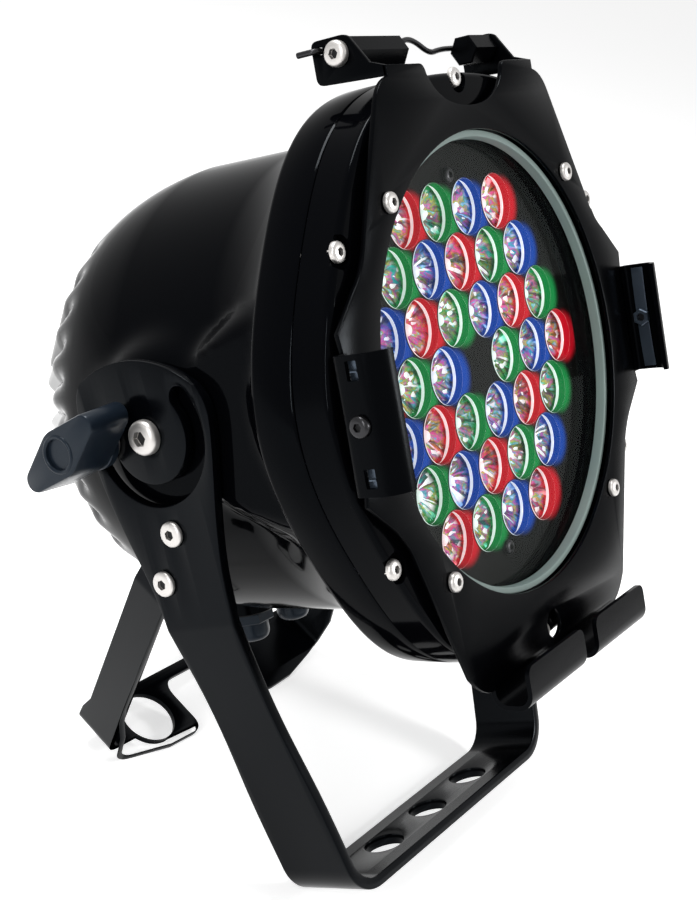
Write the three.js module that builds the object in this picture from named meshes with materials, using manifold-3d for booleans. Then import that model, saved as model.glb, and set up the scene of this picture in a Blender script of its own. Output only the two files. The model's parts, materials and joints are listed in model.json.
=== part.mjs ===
// A stage par can light with LED lamps: a ribbed cast body on two bent stands.
// Millimetres, +Z up, the light shines towards -Y. The origin is on the floor, at the
// middle of the outline.

import * as THREE from 'three';
import { mergeVertices } from 'three/addons/utils/BufferGeometryUtils.js';
import Module from 'manifold-3d';

const wasm = await Module();
wasm.setup();

// Clearances
const SEAT = 0.3;
const RUNNING = 0.3;

// Lamp layout, seen in the head's own frame: x across, y up, z along the beam
const LED_PITCH = 25;
const LED_ROWS = [ 4, 5, 6, 7, 6, 5, 4 ];
const LENS_RIM_R = 0.46 * LED_PITCH;
const LENS_FOOT_R = 0.8 * LENS_RIM_R;
const LENS_HEIGHT = 16;
const LENS_WELL_DEPTH = 7;
const BOARD_T = 1.6;
const CARRIER_T = 1.6;
const CARRIER_FRONT_Z = - 1;
const BOARD_SCREW_Y = 3.16 * LED_PITCH;
const BOARD_SCREW_HEAD_R = 3.2;
const BOARD_SCREW_HEAD_T = 2.2;
const BOARD_SCREW_GRIP = 3.5;
const SPACER_R = 4;

// Front glass stack. The lamps set its width, and it sets the width of all round it
const GLASS_R = 3 * LED_PITCH + LENS_RIM_R + 10.9;
const GLASS_T = 3;
const GLASS_BACK_Z = 5;
const GASKET_INNER_R = GLASS_R - 5.4;
const GASKET_T = 1.3;
const BARREL_INNER_R = GLASS_R - 4.4;
const LAMP_BOARD_R = BARREL_INNER_R - 1;
const LIP_INNER_R = GLASS_R - 2.1;

// Body shell
const BODY_R = GLASS_R + 4.6;
const BODY_WALL = 3;
const REAR_Z = - 206;
const REAR_FLAT_R = BODY_R - 58;
const DOME_EDGE_R = BODY_R - 45;
const DOME_EDGE_Z = - 198;
const SHOULDER_R = BODY_R - 16;
const SHOULDER_Z = - 163.5;
const BARREL_REAR_Z = - 112;
const BARREL_FRONT_Z = - 58;
const RIB_COUNT = 36;
const RIB_DEPTH = 4;
const RIB_FADE = 16;

// Joint face between body and bezel, a rounded hexagon
const FLARE_R = BODY_R + 7;
const FLANGE_BACK_Z = - 23;
const FLANGE_BACK_R = BODY_R + 16.5;
const SEAM_Z = - 4.5;
const RIM_SIDE_R = BODY_R + 17.4;
const RIM_CORNER_R = RIM_SIDE_R + 6.1;
const HEX_SIDES = 6;
const BEZEL_FRONT_Z = 11.6;
const BEZEL_DRAFT = 0.9;
const BEZEL_CHAMFER = 2;
const LEDGE_INNER_R = GLASS_R - 4.9;
const LEDGE_T = 4.5;

// Heat sink and electronics
const SINK_PLATE_T = 4;
const FIN_PITCH = 12;
const FIN_T = 3;
const FIN_DEPTH = 36;
const FIN_REACH_R = BODY_R - 14;
const POST_R = 4;
const POST_GRID_X = 4 * FIN_PITCH;
const POST_GRID_Y = 35;
const POST_LENGTH = 14;
const DRIVER_W = 130;
const DRIVER_H = 100;
const SUPPLY_W = 116;
const SUPPLY_H = 84;
const SUPPLY_DEPTH = 40;
const SUPPLY_STANDOFF = 10.3;
const SUPPLY_POST_R = 3;

// Front plate, bent from one sheet
const PLATE_BACK_Z = 14;
const PLATE_T = 2;
const PLATE_OPENING_R = GLASS_R - 2.4;
const PLATE_SCREW_XY = 72;
const PLATE_BOSS_R = 5.5;
const EAR_OUTER_X = 57.5;
const EAR_INNER_X = 31;
const EAR_TOP_Y = PLATE_OPENING_R + 26.5;
const NOTCH_BOTTOM_Y = PLATE_OPENING_R + 9.5;
const ACCESS_HOLE_R = 6;
const ACCESS_HOLE_Y = - PLATE_OPENING_R - 17.5;
const PLATE_HALF_W = PLATE_OPENING_R + 27;
const CHANNEL_TOP_Y = 24;
const CHANNEL_BOTTOM_Y = - 26;
const FRAME_SLOT = 16;
const CHANNEL_LIP_X = PLATE_HALF_W - 10;
const CHANNEL_BEND_R = 6;
const HOOK_INNER_X = 6;
const HOOK_OUTER_X = 55;
const HOOK_BOTTOM_Y = - PLATE_OPENING_R - 36;
const HOOK_TIP_Y = HOOK_BOTTOM_Y + 18;
const HOOK_BEND_R = 7;
const HOOK_CORNER_R = 5;
const CHEEK_X = PLATE_OPENING_R - 24;
const CHEEK_Y = PLATE_OPENING_R + 17;
const SHOULDER_X = PLATE_OPENING_R - 1;
const SHOULDER_LOW_Y = - 55;
const SHOULDER_HIGH_Y = 62.5;
const NECK_X = PLATE_OPENING_R + 8;
const NECK_Y = 43.5;

// Frame latch on the two ears
const TAB_TOP_Y = EAR_TOP_Y + 14.5;
const TAB_BOTTOM_Y = EAR_TOP_Y - 4;
const TAB_REAR_Z = - 16;
const TAB_TOP_FRONT_Z = 0;
const LATCH_Y = EAR_TOP_Y + 8;
const LATCH_Z = - 4;
const LATCH_SCREW_R = 2.5;
const LATCH_SCREW_HEAD_R = 5;
const LATCH_SCREW_HEAD_T = 3.4;
const LATCH_SCREW_LENGTH = 14;
const LATCH_BAR_FLATS = 11.5;
const LATCH_BAR_LEFT_LENGTH = 38;
const LATCH_BAR_RIGHT_LENGTH = 19;
const WIRE_R = 1.2;
const WIRE_Y = LATCH_Y + 2.5;
const WIRE_TAIL = 8;
const WIRE_KINK = 4.5;

// Tilt pivot and clamp studs
const PIVOT_Z = - 85.7;
const BOSS_R = 31;
const PAD_FACE_X = BODY_R + 4.4;
const PAD_FILLET = 9;
const PAD_TOP_Y = 38;
const PAD_BOTTOM_Y = - 40;
const PIVOT_BOLT_R = 4;
const PIVOT_BOLT_DEPTH = 20;
const PIVOT_HEAD_R = 8;
const PIVOT_HEAD_T = 5;
const PIVOT_WASHER_R = 16;
const STUD_R = 4;
const STUD_RADIUS = 24;
const STUD_DEPTH = 14;

// Wing knobs
const KNOB_WASHER_R = 9.5;
const KNOB_WASHER_T = 1.6;
const KNOB_HUB_R = 11;
const KNOB_HUB_H = 4.6;
const KNOB_DEPTH = 24;
const KNOB_WING_REACH = 24;
const KNOB_WING_TIP_R = 5.4;
const KNOB_WAIST_R = 10.6;
const KNOB_RECESS_R = 6.3;
const KNOB_RECESS = 2;
const KNOB_TAPER = 0.07;
const KNOB_TURN_DEG = 32;
const KNOB_BORE_DEPTH = 13;

// Front stand, a bent strap; n runs from the pivot along the arm, u across it
const STAND_T = 5;
const STAND_OUTER_X = PAD_FACE_X + 6.6;
const STAND_REACH = 204.5;
const STAND_W = 35;
const STAND_WAIST_W = 30.6;
const STAND_WAIST_N = 118;
const STAND_LEAN_START = 78.5;
const STAND_LEAN_DEG = 13.2;
const STAND_FOOT_R = 20;
const STAND_HOLE_R = 9;
const STAND_HOLE_PITCH = 37.2;
const HEAD_TOP_R = 51.3;
const HEAD_TOP_U = - 7.2;
const HEAD_TOP_N = - 20.2;
const SLOT_W = 9;
const SLOT_FRONT_DEG = 30;
const SLOT_REAR_DEG = - 202;

// Rear stand, a bent strap screwed inside the arms; t runs along its arm, c across it
const BRACE_T = 3;
const BRACE_REACH = 173;
const BRACE_LEAN_START = 60.7;
const BRACE_LEAN_DEG = 13.9;
const BRACE_FOOT_R = 9;
const BRACE_REAR_C = 18.4;
const BRACE_ARM_REAR_C = 22.6;
const BRACE_ARM_C = 41.5;
const BRACE_FRONT_C = 55.4;
const BRACE_TOP_T = 19;
const BRACE_NOTCH_X = 25;
const BRACE_NOTCH_C = 24.5;
const BRACE_HOLE_R = 13.5;
const BRACE_HOLE_X = - 47.2;
const BRACE_HOLE_C = 36.8;
const BRACE_SCREWS = [ { t: 25, c: 30.6 }, { t: 45.8, c: 38.7 } ];
const BRACE_SCREW_R = 2.5;
const BRACE_SCREW_HEAD_R = 5.25;
const BRACE_SCREW_HEAD_T = 2.4;

// Small pan-head screws
const SCREW_R = 2;
const SCREW_HEAD_R = 4;
const SCREW_HEAD_T = 2.6;
const BEZEL_SCREW_RADIUS = BODY_R + 14.5;
const BEZEL_SCREW_LENGTH = 20;
const POCKET_R = 6.2;
const POCKET_FLOOR_Z = 9;
const CHANNEL_SCREW_Y = - 0.8;
const CHANNEL_SCREW_Z = 22.5;
const WINDOW_H = 7;
const WINDOW_DEPTH = 4;
const WINDOW_INSET = 5.5;
const LEAF_T = 0.6;
const LEAF_W = 5.6;
const LEAF_HOOK_W = 3;

// Cable glands under the body
const GLAND_R = 8;
const GLAND_BORE_R = 3.4;
const GLAND_PAD = 1;
const GLAND_HEX_FLATS = 19;
const GLAND_LENGTH = 14;
const GLAND_TIP_R = 5.4;
const GLAND_Z = - 136;
const GLAND_X = 16;

// Angles between the pieces, in degrees
const BEAM_FROM_ARM_DEG = 84.4;
const BRACE_FROM_ARM_DEG = 51.5;

// Derived places
const deg = THREE.MathUtils.degToRad;
const bezelBackZ = SEAM_Z + SEAT;
const windowBackZ = CHANNEL_SCREW_Z - WINDOW_DEPTH / 2;
const gasketBackZ = GLASS_BACK_Z + GLASS_T + SEAT;
const lipBackZ = gasketBackZ + GASKET_T + SEAT;
const ledgeFrontZ = bezelBackZ - 18.1;
const sinkBackZ = ledgeFrontZ + SEAT;
const sinkFrontZ = sinkBackZ + SINK_PLATE_T;
const lampBoardBackZ = sinkFrontZ + SEAT;
const lampBoardFrontZ = lampBoardBackZ + BOARD_T;
const finTipZ = sinkBackZ - FIN_DEPTH;
const postTipZ = finTipZ - POST_LENGTH;
const driverFrontZ = postTipZ - SEAT;
const driverBackZ = driverFrontZ - BOARD_T;
const supplyFrontZ = driverBackZ - SEAT - SUPPLY_STANDOFF;
const plateFrontZ = PLATE_BACK_Z + PLATE_T;
const channelFrontZ = plateFrontZ + FRAME_SLOT + PLATE_T;
const standInnerX = STAND_OUTER_X - STAND_T;
const braceOuterX = standInnerX - SEAT;
const tabInnerX = EAR_OUTER_X - PLATE_T;
const latchBarR = LATCH_BAR_FLATS / Math.sqrt( 3 );
const wireZ = LATCH_Z - latchBarR - WIRE_R - SEAT;
const SIDES = [ { name: 'left', sign: - 1 }, { name: 'right', sign: 1 } ];

// Finishes
const glossBlack = new THREE.MeshStandardMaterial( { color: 0x0b0b0c, roughness: 0.18, metalness: 0.1 } );
const satinBlack = new THREE.MeshStandardMaterial( { color: 0x17181a, roughness: 0.42, metalness: 0.2 } );
const standBlack = new THREE.MeshStandardMaterial( { color: 0x2b2d2e, roughness: 0.45, metalness: 0.2 } );
const blackOxide = new THREE.MeshStandardMaterial( { color: 0x1c1c1e, roughness: 0.4, metalness: 0.8 } );
const stainless = new THREE.MeshStandardMaterial( { color: 0xc9c6c2, roughness: 0.25, metalness: 1 } );
const knobPlastic = new THREE.MeshStandardMaterial( { color: 0x1d2026, roughness: 0.38, metalness: 0 } );
const fibre = new THREE.MeshStandardMaterial( { color: 0x2a2522, roughness: 0.8, metalness: 0 } );
const clearGlass = new THREE.MeshStandardMaterial( { color: 0xdfe6e4, roughness: 0.03, metalness: 0 } );
const paleRubber = new THREE.MeshStandardMaterial( { color: 0xaab5ac, roughness: 0.6, metalness: 0 } );
const circuitBoard = new THREE.MeshStandardMaterial( { color: 0x12181a, roughness: 0.5, metalness: 0 } );
const bareAluminium = new THREE.MeshStandardMaterial( { color: 0xb4b6b8, roughness: 0.4, metalness: 1 } );
const zincSteel = new THREE.MeshStandardMaterial( { color: 0x9da0a3, roughness: 0.4, metalness: 1 } );

// Solid modelling helpers. Every form is a closed three.js geometry.

/** Index triples of a merged geometry, without the flat ones, facing outwards. */
function outwardTriangles( points, corners ) {

	const kept = [];
	const a = new THREE.Vector3();
	const b = new THREE.Vector3();
	const c = new THREE.Vector3();
	let volume = 0;
	for ( let i = 0; i < corners.length; i += 3 ) {

		const [ p, q, r ] = [ corners[ i ], corners[ i + 1 ], corners[ i + 2 ] ];
		if ( p === q || q === r || r === p ) continue;
		kept.push( p, q, r );
		a.fromArray( points, 3 * p );
		b.fromArray( points, 3 * q );
		c.fromArray( points, 3 * r );
		volume += a.dot( b.cross( c ) );

	}

	return volume < 0 ? kept.reverse() : kept;

}

/** The solid that a closed geometry bounds. */
function solid( geometry ) {

	const bare = new THREE.BufferGeometry();
	bare.setAttribute( 'position', geometry.getAttribute( 'position' ).clone() );
	if ( geometry.index ) bare.setIndex( geometry.index.clone() );
	const merged = mergeVertices( bare, 1e-4 );
	const points = merged.getAttribute( 'position' ).array;
	const triangles = outwardTriangles( points, merged.index.array );
	return new wasm.Manifold( new wasm.Mesh( {
		numProp: 3,
		vertProperties: new Float32Array( points ),
		triVerts: new Uint32Array( triangles ),
	} ) );

}

/** The surface of a solid, as a geometry. */
function skin( body ) {

	const mesh = body.getMesh();
	const geometry = new THREE.BufferGeometry();
	geometry.setAttribute( 'position', new THREE.BufferAttribute( new Float32Array( mesh.vertProperties ), 3 ) );
	geometry.setIndex( new THREE.BufferAttribute( new Uint32Array( mesh.triVerts ), 1 ) );
	return geometry;

}

/** Joins closed forms into one. */
function join( first, ...others ) {

	return skin( others.reduce( ( sum, next ) => sum.add( solid( next ) ), solid( first ) ) );

}

/** Cuts closed forms from the first. */
function cut( first, ...others ) {

	return skin( others.reduce( ( rest, next ) => rest.subtract( solid( next ) ), solid( first ) ) );

}

/** What all the closed forms have in common. */
function common( first, ...others ) {

	return skin( others.reduce( ( rest, next ) => rest.intersect( solid( next ) ), solid( first ) ) );

}

/** A named mesh of one closed form. */
function piece( name, form, material ) {

	const geometry = skin( solid( form ) );
	geometry.computeVertexNormals();
	const mesh = new THREE.Mesh( geometry, material );
	mesh.name = name;
	return mesh;

}

/** A body of revolution about z from [radius, z] points; reshape may move each ring point. */
function turned( profile, segments, reshape ) {

	const points = profile.map( ( [ r, z ] ) => new THREE.Vector2( r, z ) );
	const geometry = new THREE.LatheGeometry( points, segments );
	geometry.rotateX( Math.PI / 2 );
	if ( ! reshape ) return geometry;
	const position = geometry.getAttribute( 'position' );
	for ( let i = 0; i < position.count; i ++ ) {

		const meridian = Math.floor( i / profile.length ) % segments;
		const [ r, z ] = profile[ i % profile.length ];
		const scale = r > 0 ? reshape( r, z, meridian / segments, i % profile.length ) / r : 1;
		position.setX( i, position.getX( i ) * scale );
		position.setY( i, position.getY( i ) * scale );

	}

	return geometry;

}

/** A plate or ring of revolution with a rectangular section. */
function disc( outerR, innerR, z0, z1, segments = 48 ) {

	if ( innerR === 0 ) return turned( [ [ 0, z0 ], [ outerR, z0 ], [ outerR, z1 ], [ 0, z1 ] ], segments );
	const profile = [ [ innerR, z0 ], [ outerR, z0 ], [ outerR, z1 ], [ innerR, z1 ], [ innerR, z0 ] ];
	return turned( profile, segments );

}

/** A rod along z at x, y. */
function rod( x, y, r, z0, z1, segments = 16 ) {

	return disc( r, 0, z0, z1, segments ).translate( x, y, 0 );

}

/** Extrudes a shape drawn in x, y from z0 to z1. */
function extruded( shape, z0, z1, curveSegments = 8 ) {

	const geometry = new THREE.ExtrudeGeometry( shape, { depth: z1 - z0, bevelEnabled: false, curveSegments } );
	return geometry.translate( 0, 0, z0 );

}

/** Turns a form so that its own x, y, z lie along y, z, x. */
function across( form ) {

	return form.rotateX( Math.PI / 2 ).rotateZ( Math.PI / 2 );

}

/** Turns a form so that its own x, y, z lie along x, z, -y. */
function facing( form ) {

	return form.rotateX( Math.PI / 2 );

}

/** A rod along x between x0 and x1, at y, z. */
function crossRod( y, z, r, x0, x1, segments = 12 ) {

	return across( disc( r, 0, Math.min( x0, x1 ), Math.max( x0, x1 ), segments ) ).translate( 0, y, z );

}

/** The mirror image of a form across x = 0. */
function mirrored( form ) {

	return form.clone().scale( - 1, 1, 1 );

}

/** A pan-head screw along z, its head seated at z = 0 and its shank towards -z. */
function panScrew( shankR, length, headR, headT, segments = 8 ) {

	const line = new THREE.Path();
	line.moveTo( 0, - length );
	line.lineTo( shankR, - length );
	line.lineTo( shankR, 0 );
	line.lineTo( headR, 0 );
	line.lineTo( headR, 0.45 * headT );
	line.quadraticCurveTo( headR, headT, 0.45 * headR, headT );
	line.lineTo( 0, headT );
	return turned( line.getPoints( 2 ).map( ( p ) => [ p.x, p.y ] ), segments );

}

/** A sheet that lies to the left of an open line of [a, b] points, as a closed shape. */
function sheetShape( line, thickness ) {

	const outer = line.map( ( [ a, b ] ) => new THREE.Vector2( a, b ) );
	const last = outer.length - 1;
	const inner = outer.map( ( point, i ) => {

		const into = point.clone().sub( outer[ Math.max( i - 1, 0 ) ] );
		const away = outer[ Math.min( i + 1, last ) ].clone().sub( point );
		if ( i === 0 ) into.copy( away );
		if ( i === last ) away.copy( into );
		into.normalize();
		const along = into.clone().add( away.normalize() ).normalize();
		const reach = thickness / along.dot( into );
		return new THREE.Vector2( point.x - along.y * reach, point.y + along.x * reach );

	} );
	return new THREE.Shape( [ ...outer, ...inner.reverse() ] );

}

/** Points along an arc, for use inside a sheet line. */
function bend( centre, r, fromDeg, toDeg, steps = 4 ) {

	return Array.from( { length: steps + 1 }, ( _, i ) => {

		const angle = deg( fromDeg + ( toDeg - fromDeg ) * i / steps );
		return [ centre[ 0 ] + r * Math.cos( angle ), centre[ 1 ] + r * Math.sin( angle ) ];

	} );

}

/** A rectangle with round corners, centred on the origin. */
function roundedRectangle( w, h, r ) {

	const shape = new THREE.Shape();
	shape.absarc( w / 2 - r, h / 2 - r, r, 0, Math.PI / 2, false );
	shape.absarc( - w / 2 + r, h / 2 - r, r, Math.PI / 2, Math.PI, false );
	shape.absarc( - w / 2 + r, - h / 2 + r, r, Math.PI, 1.5 * Math.PI, false );
	shape.absarc( w / 2 - r, - h / 2 + r, r, 1.5 * Math.PI, 2 * Math.PI, false );
	shape.closePath();
	return shape;

}

// Patterns shared by several pieces

/** Radius of the rim surfaces, which follow a rounded hexagon with a corner at the bottom. */
function hexRim( r, turn ) {

	const corner = ( 1 + Math.cos( HEX_SIDES * 2 * Math.PI * turn ) ) / 2;
	const share = THREE.MathUtils.smoothstep( r, FLARE_R, FLANGE_BACK_R );
	return r + ( RIM_CORNER_R - RIM_SIDE_R ) * corner * share;

}

/** Places of the bezel screws, on the hexagon's corners. */
function bezelScrewPlaces() {

	return Array.from( { length: HEX_SIDES }, ( _, k ) => {

		const angle = deg( 30 + 60 * k );
		return [ BEZEL_SCREW_RADIUS * Math.cos( angle ), BEZEL_SCREW_RADIUS * Math.sin( angle ) ];

	} );

}

/** The four corners of a rectangle with the given half sides. */
function fourCorners( x, y ) {

	return [ [ - x, y ], [ x, y ], [ x, - y ], [ - x, - y ] ];

}

/** Centres of the lamps, on a hexagonal grid with its middle left out. */
function lampPlaces() {

	const places = [];
	const rowPitch = LED_PITCH * Math.sqrt( 3 ) / 2;
	LED_ROWS.forEach( ( count, row ) => {

		const y = ( ( LED_ROWS.length - 1 ) / 2 - row ) * rowPitch;
		for ( let i = 0; i < count; i ++ ) {

			const x = ( i - ( count - 1 ) / 2 ) * LED_PITCH;
			if ( Math.hypot( x, y ) > LED_PITCH / 2 ) places.push( [ x, y ] );

		}

	} );
	return places;

}

// The head, in its own frame

/** Outline of a side pad, as [z, y] from the pivot: a round boss that flares forward to the flange. */
function padOutline( grow ) {

	const reach = FLANGE_BACK_Z - PIVOT_Z + 4;
	const steps = 28;
	return Array.from( { length: steps }, ( _, i ) => {

		const angle = 2 * Math.PI * i / steps;
		const forward = Math.cos( angle );
		const side = Math.sin( angle );
		const edge = side > 0 ? PAD_TOP_Y : - PAD_BOTTOM_Y;
		const straight = Math.min( edge / Math.max( Math.abs( side ), 0.01 ), reach / Math.max( forward, 0.01 ) );
		const flare = THREE.MathUtils.smoothstep( forward, 0.56, 0.76 );
		const r = BOSS_R + ( Math.max( straight, BOSS_R ) - BOSS_R ) * flare + grow;
		return [ r * forward, r * side ];

	} );

}

/** The pad round one pivot, with a hollow fillet down to the body's barrel. */
function sidePad( sign ) {

	const levels = 3;
	const vertices = [];
	const triangles = [];
	const depth = PAD_FACE_X - BODY_R + 16;
	let count = 0;
	for ( let k = 0; k <= levels; k ++ ) {

		const angle = Math.PI / 2 * k / levels;
		const outline = padOutline( PAD_FILLET * ( 1 - Math.cos( angle ) ) );
		const x = sign * ( PAD_FACE_X - depth * Math.sin( angle ) );
		count = outline.length;
		outline.forEach( ( [ z, y ] ) => vertices.push( x, y, PIVOT_Z + z ) );

	}

	for ( let k = 0; k < levels; k ++ ) {

		for ( let i = 0; i < count; i ++ ) {

			const a = k * count + i;
			const b = k * count + ( i + 1 ) % count;
			triangles.push( a, b, b + count, a, b + count, a + count );

		}

	}

	const outerHub = vertices.length / 3;
	vertices.push( sign * PAD_FACE_X, 0, PIVOT_Z, sign * ( PAD_FACE_X - depth ), 0, PIVOT_Z );
	for ( let i = 0; i < count; i ++ ) {

		const next = ( i + 1 ) % count;
		const base = levels * count;
		triangles.push( outerHub, next, i, outerHub + 1, base + i, base + next );

	}

	const geometry = new THREE.BufferGeometry();
	geometry.setAttribute( 'position', new THREE.Float32BufferAttribute( vertices, 3 ) );
	geometry.setIndex( triangles );
	return geometry;

}

/** Outer line of the body, from the rear centre to the seam. */
function bodyOuterLine() {

	const line = new THREE.Path();
	line.moveTo( 0, REAR_Z );
	line.lineTo( REAR_FLAT_R, REAR_Z );
	line.quadraticCurveTo( REAR_FLAT_R + 8, REAR_Z + 2.5, DOME_EDGE_R, DOME_EDGE_Z );
	line.lineTo( SHOULDER_R, SHOULDER_Z );
	line.bezierCurveTo( SHOULDER_R + 8, SHOULDER_Z + 12, BODY_R - 2, BARREL_REAR_Z - 21, BODY_R, BARREL_REAR_Z );
	line.lineTo( BODY_R, BARREL_FRONT_Z );
	line.quadraticCurveTo( BODY_R + 1, FLANGE_BACK_Z - 23, FLARE_R, FLANGE_BACK_Z - 10 );
	line.quadraticCurveTo( FLANGE_BACK_R - 6, FLANGE_BACK_Z - 1, FLANGE_BACK_R, FLANGE_BACK_Z );
	line.lineTo( RIM_SIDE_R, SEAM_Z );
	return line.getPoints( 2 ).map( ( p ) => [ p.x, p.y ] );

}

/** Inner line of the body, from the seam back to the rear centre. */
function bodyInnerLine() {

	const bore = BODY_R - BODY_WALL;
	const mouth = GLASS_R + SEAT;
	const domeInset = RIB_DEPTH + BODY_WALL;
	return [
		[ mouth, ledgeFrontZ ],
		[ LEDGE_INNER_R, ledgeFrontZ ],
		[ LEDGE_INNER_R, ledgeFrontZ - LEDGE_T ],
		[ bore, ledgeFrontZ - LEDGE_T ],
		[ bore, BARREL_REAR_Z ],
		[ SHOULDER_R - domeInset, SHOULDER_Z + BODY_WALL ],
		[ DOME_EDGE_R - domeInset, DOME_EDGE_Z + BODY_WALL ],
		[ REAR_FLAT_R - domeInset, REAR_Z + 2 * BODY_WALL ],
		[ 0, REAR_Z + 2 * BODY_WALL ],
	];

}

/** The cast shell: every second meridian of its dome is drawn in, which leaves the cooling ribs. */
function ribbedForm() {

	return turned( [ ...bodyOuterLine(), [ 0, SEAM_Z ] ], 2 * RIB_COUNT, ( r, z, turn ) => {

		const ribFrontZ = SHOULDER_Z + 4;
		const onDome = 1 - THREE.MathUtils.smoothstep( z, ribFrontZ, ribFrontZ + RIB_FADE );
		const offCentre = THREE.MathUtils.smoothstep( r, REAR_FLAT_R - 1, REAR_FLAT_R + 6 );
		const valley = Math.round( turn * 2 * RIB_COUNT ) % 2 * RIB_DEPTH * onDome * offCentre;
		return hexRim( r, turn ) - valley;

	} );

}

/** Turns a form drawn downwards along its own z so that it hangs from the body at x. */
function underBody( form, x ) {

	return form.rotateX( Math.PI / 2 ).translate( x, - BODY_R, GLAND_Z );

}

function makeHousing() {

	const pads = [];
	const added = [];
	const holes = [];
	const interior = turned( [ [ 0, SEAM_Z + 1 ], [ GLASS_R + SEAT, SEAM_Z + 1 ], ...bodyInnerLine() ], 48 );
	SIDES.forEach( ( { sign } ) => {

		const face = sign * ( PAD_FACE_X + 1 );
		const inner = sign * ( PAD_FACE_X - PIVOT_BOLT_DEPTH - 4 );
		const outer = sign * ( PAD_FACE_X - 4 );
		pads.push( sidePad( sign ) );
		added.push( crossRod( 0, PIVOT_Z, 2 * PIVOT_BOLT_R, inner, outer ) );
		added.push( crossRod( 0, PIVOT_Z - STUD_RADIUS, 2 * STUD_R, inner, outer ) );
		holes.push( crossRod( 0, PIVOT_Z, PIVOT_BOLT_R + SEAT, sign * ( PAD_FACE_X - PIVOT_BOLT_DEPTH - 1 ), face ) );
		holes.push( crossRod( 0, PIVOT_Z - STUD_RADIUS, STUD_R + SEAT, sign * ( PAD_FACE_X - STUD_DEPTH - 1 ), face ) );

	} );
	[ - GLAND_X, GLAND_X ].forEach( ( x ) => {

		added.push( underBody( rod( 0, 0, GLAND_R + 5, - 9, GLAND_PAD, 24 ), x ) );
		holes.push( underBody( rod( 0, 0, GLAND_R + SEAT, - 20, 8, 16 ), x ) );

	} );
	bezelScrewPlaces().forEach( ( [ x, y ] ) => {

		holes.push( rod( x, y, SCREW_R + SEAT, POCKET_FLOOR_Z - BEZEL_SCREW_LENGTH - 1, SEAM_Z + 1, 8 ) );

	} );
	const shell = cut( join( ribbedForm(), ...pads ), interior );
	return piece( 'housing', cut( join( shell, ...added ), ...holes ), glossBlack );

}

function makeBezel() {

	const frontR = RIM_SIDE_R - BEZEL_DRAFT;
	const bore = GLASS_R + SEAT;
	const profile = [
		[ bore, bezelBackZ ],
		[ RIM_SIDE_R, bezelBackZ ],
		[ frontR, BEZEL_FRONT_Z - BEZEL_CHAMFER ],
		[ frontR - BEZEL_CHAMFER, BEZEL_FRONT_Z ],
		[ LIP_INNER_R, BEZEL_FRONT_Z ],
		[ LIP_INNER_R, lipBackZ ],
		[ bore, lipBackZ ],
		[ bore, bezelBackZ ],
	];
	const ring = turned( profile, 48, ( r, z, turn ) => hexRim( r, turn ) );
	const corners = fourCorners( PLATE_SCREW_XY, PLATE_SCREW_XY );
	const bosses = corners.map( ( [ x, y ] ) => rod( x, y, PLATE_BOSS_R, BEZEL_FRONT_Z - 1.5, PLATE_BACK_Z - SEAT, 12 ) );
	const holes = corners.map( ( [ x, y ] ) => rod( x, y, SCREW_R + SEAT, 0, PLATE_BACK_Z, 8 ) );
	bezelScrewPlaces().forEach( ( [ x, y ] ) => {

		holes.push( rod( x, y, POCKET_R, POCKET_FLOOR_Z, BEZEL_FRONT_Z + 1, 14 ) );
		holes.push( rod( x, y, SCREW_R + SEAT, bezelBackZ - 1, POCKET_FLOOR_Z + 1, 8 ) );

	} );
	return piece( 'bezel_ring', cut( join( ring, ...bosses ), ...holes ), glossBlack );

}

function makeGlassStack() {

	const glass = disc( GLASS_R, 0, GLASS_BACK_Z, GLASS_BACK_Z + GLASS_T );
	const gasket = disc( GLASS_R, GASKET_INNER_R, gasketBackZ, gasketBackZ + GASKET_T );
	const wall = disc( GLASS_R, BARREL_INNER_R, sinkFrontZ + SEAT, GLASS_BACK_Z - SEAT );
	return [
		piece( 'front_glass', glass, clearGlass ),
		piece( 'glass_gasket', gasket, paleRubber ),
		piece( 'inner_barrel', wall, glossBlack ),
	];

}

/** One lamp: a moulded holder that widens to its rim, with the lens deep inside it. */
function lampUnit() {

	const foot = lampBoardFrontZ - BOARD_T / 2;
	return turned( [
		[ 0, foot ],
		[ LENS_FOOT_R, foot ],
		[ LENS_RIM_R, - LENS_WELL_DEPTH ],
		[ LENS_RIM_R, 0 ],
		[ LENS_RIM_R - 1, 0 ],
		[ LENS_FOOT_R, - LENS_WELL_DEPTH ],
		[ 0, - LENS_WELL_DEPTH + 2 ],
	], 8 );

}

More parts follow.
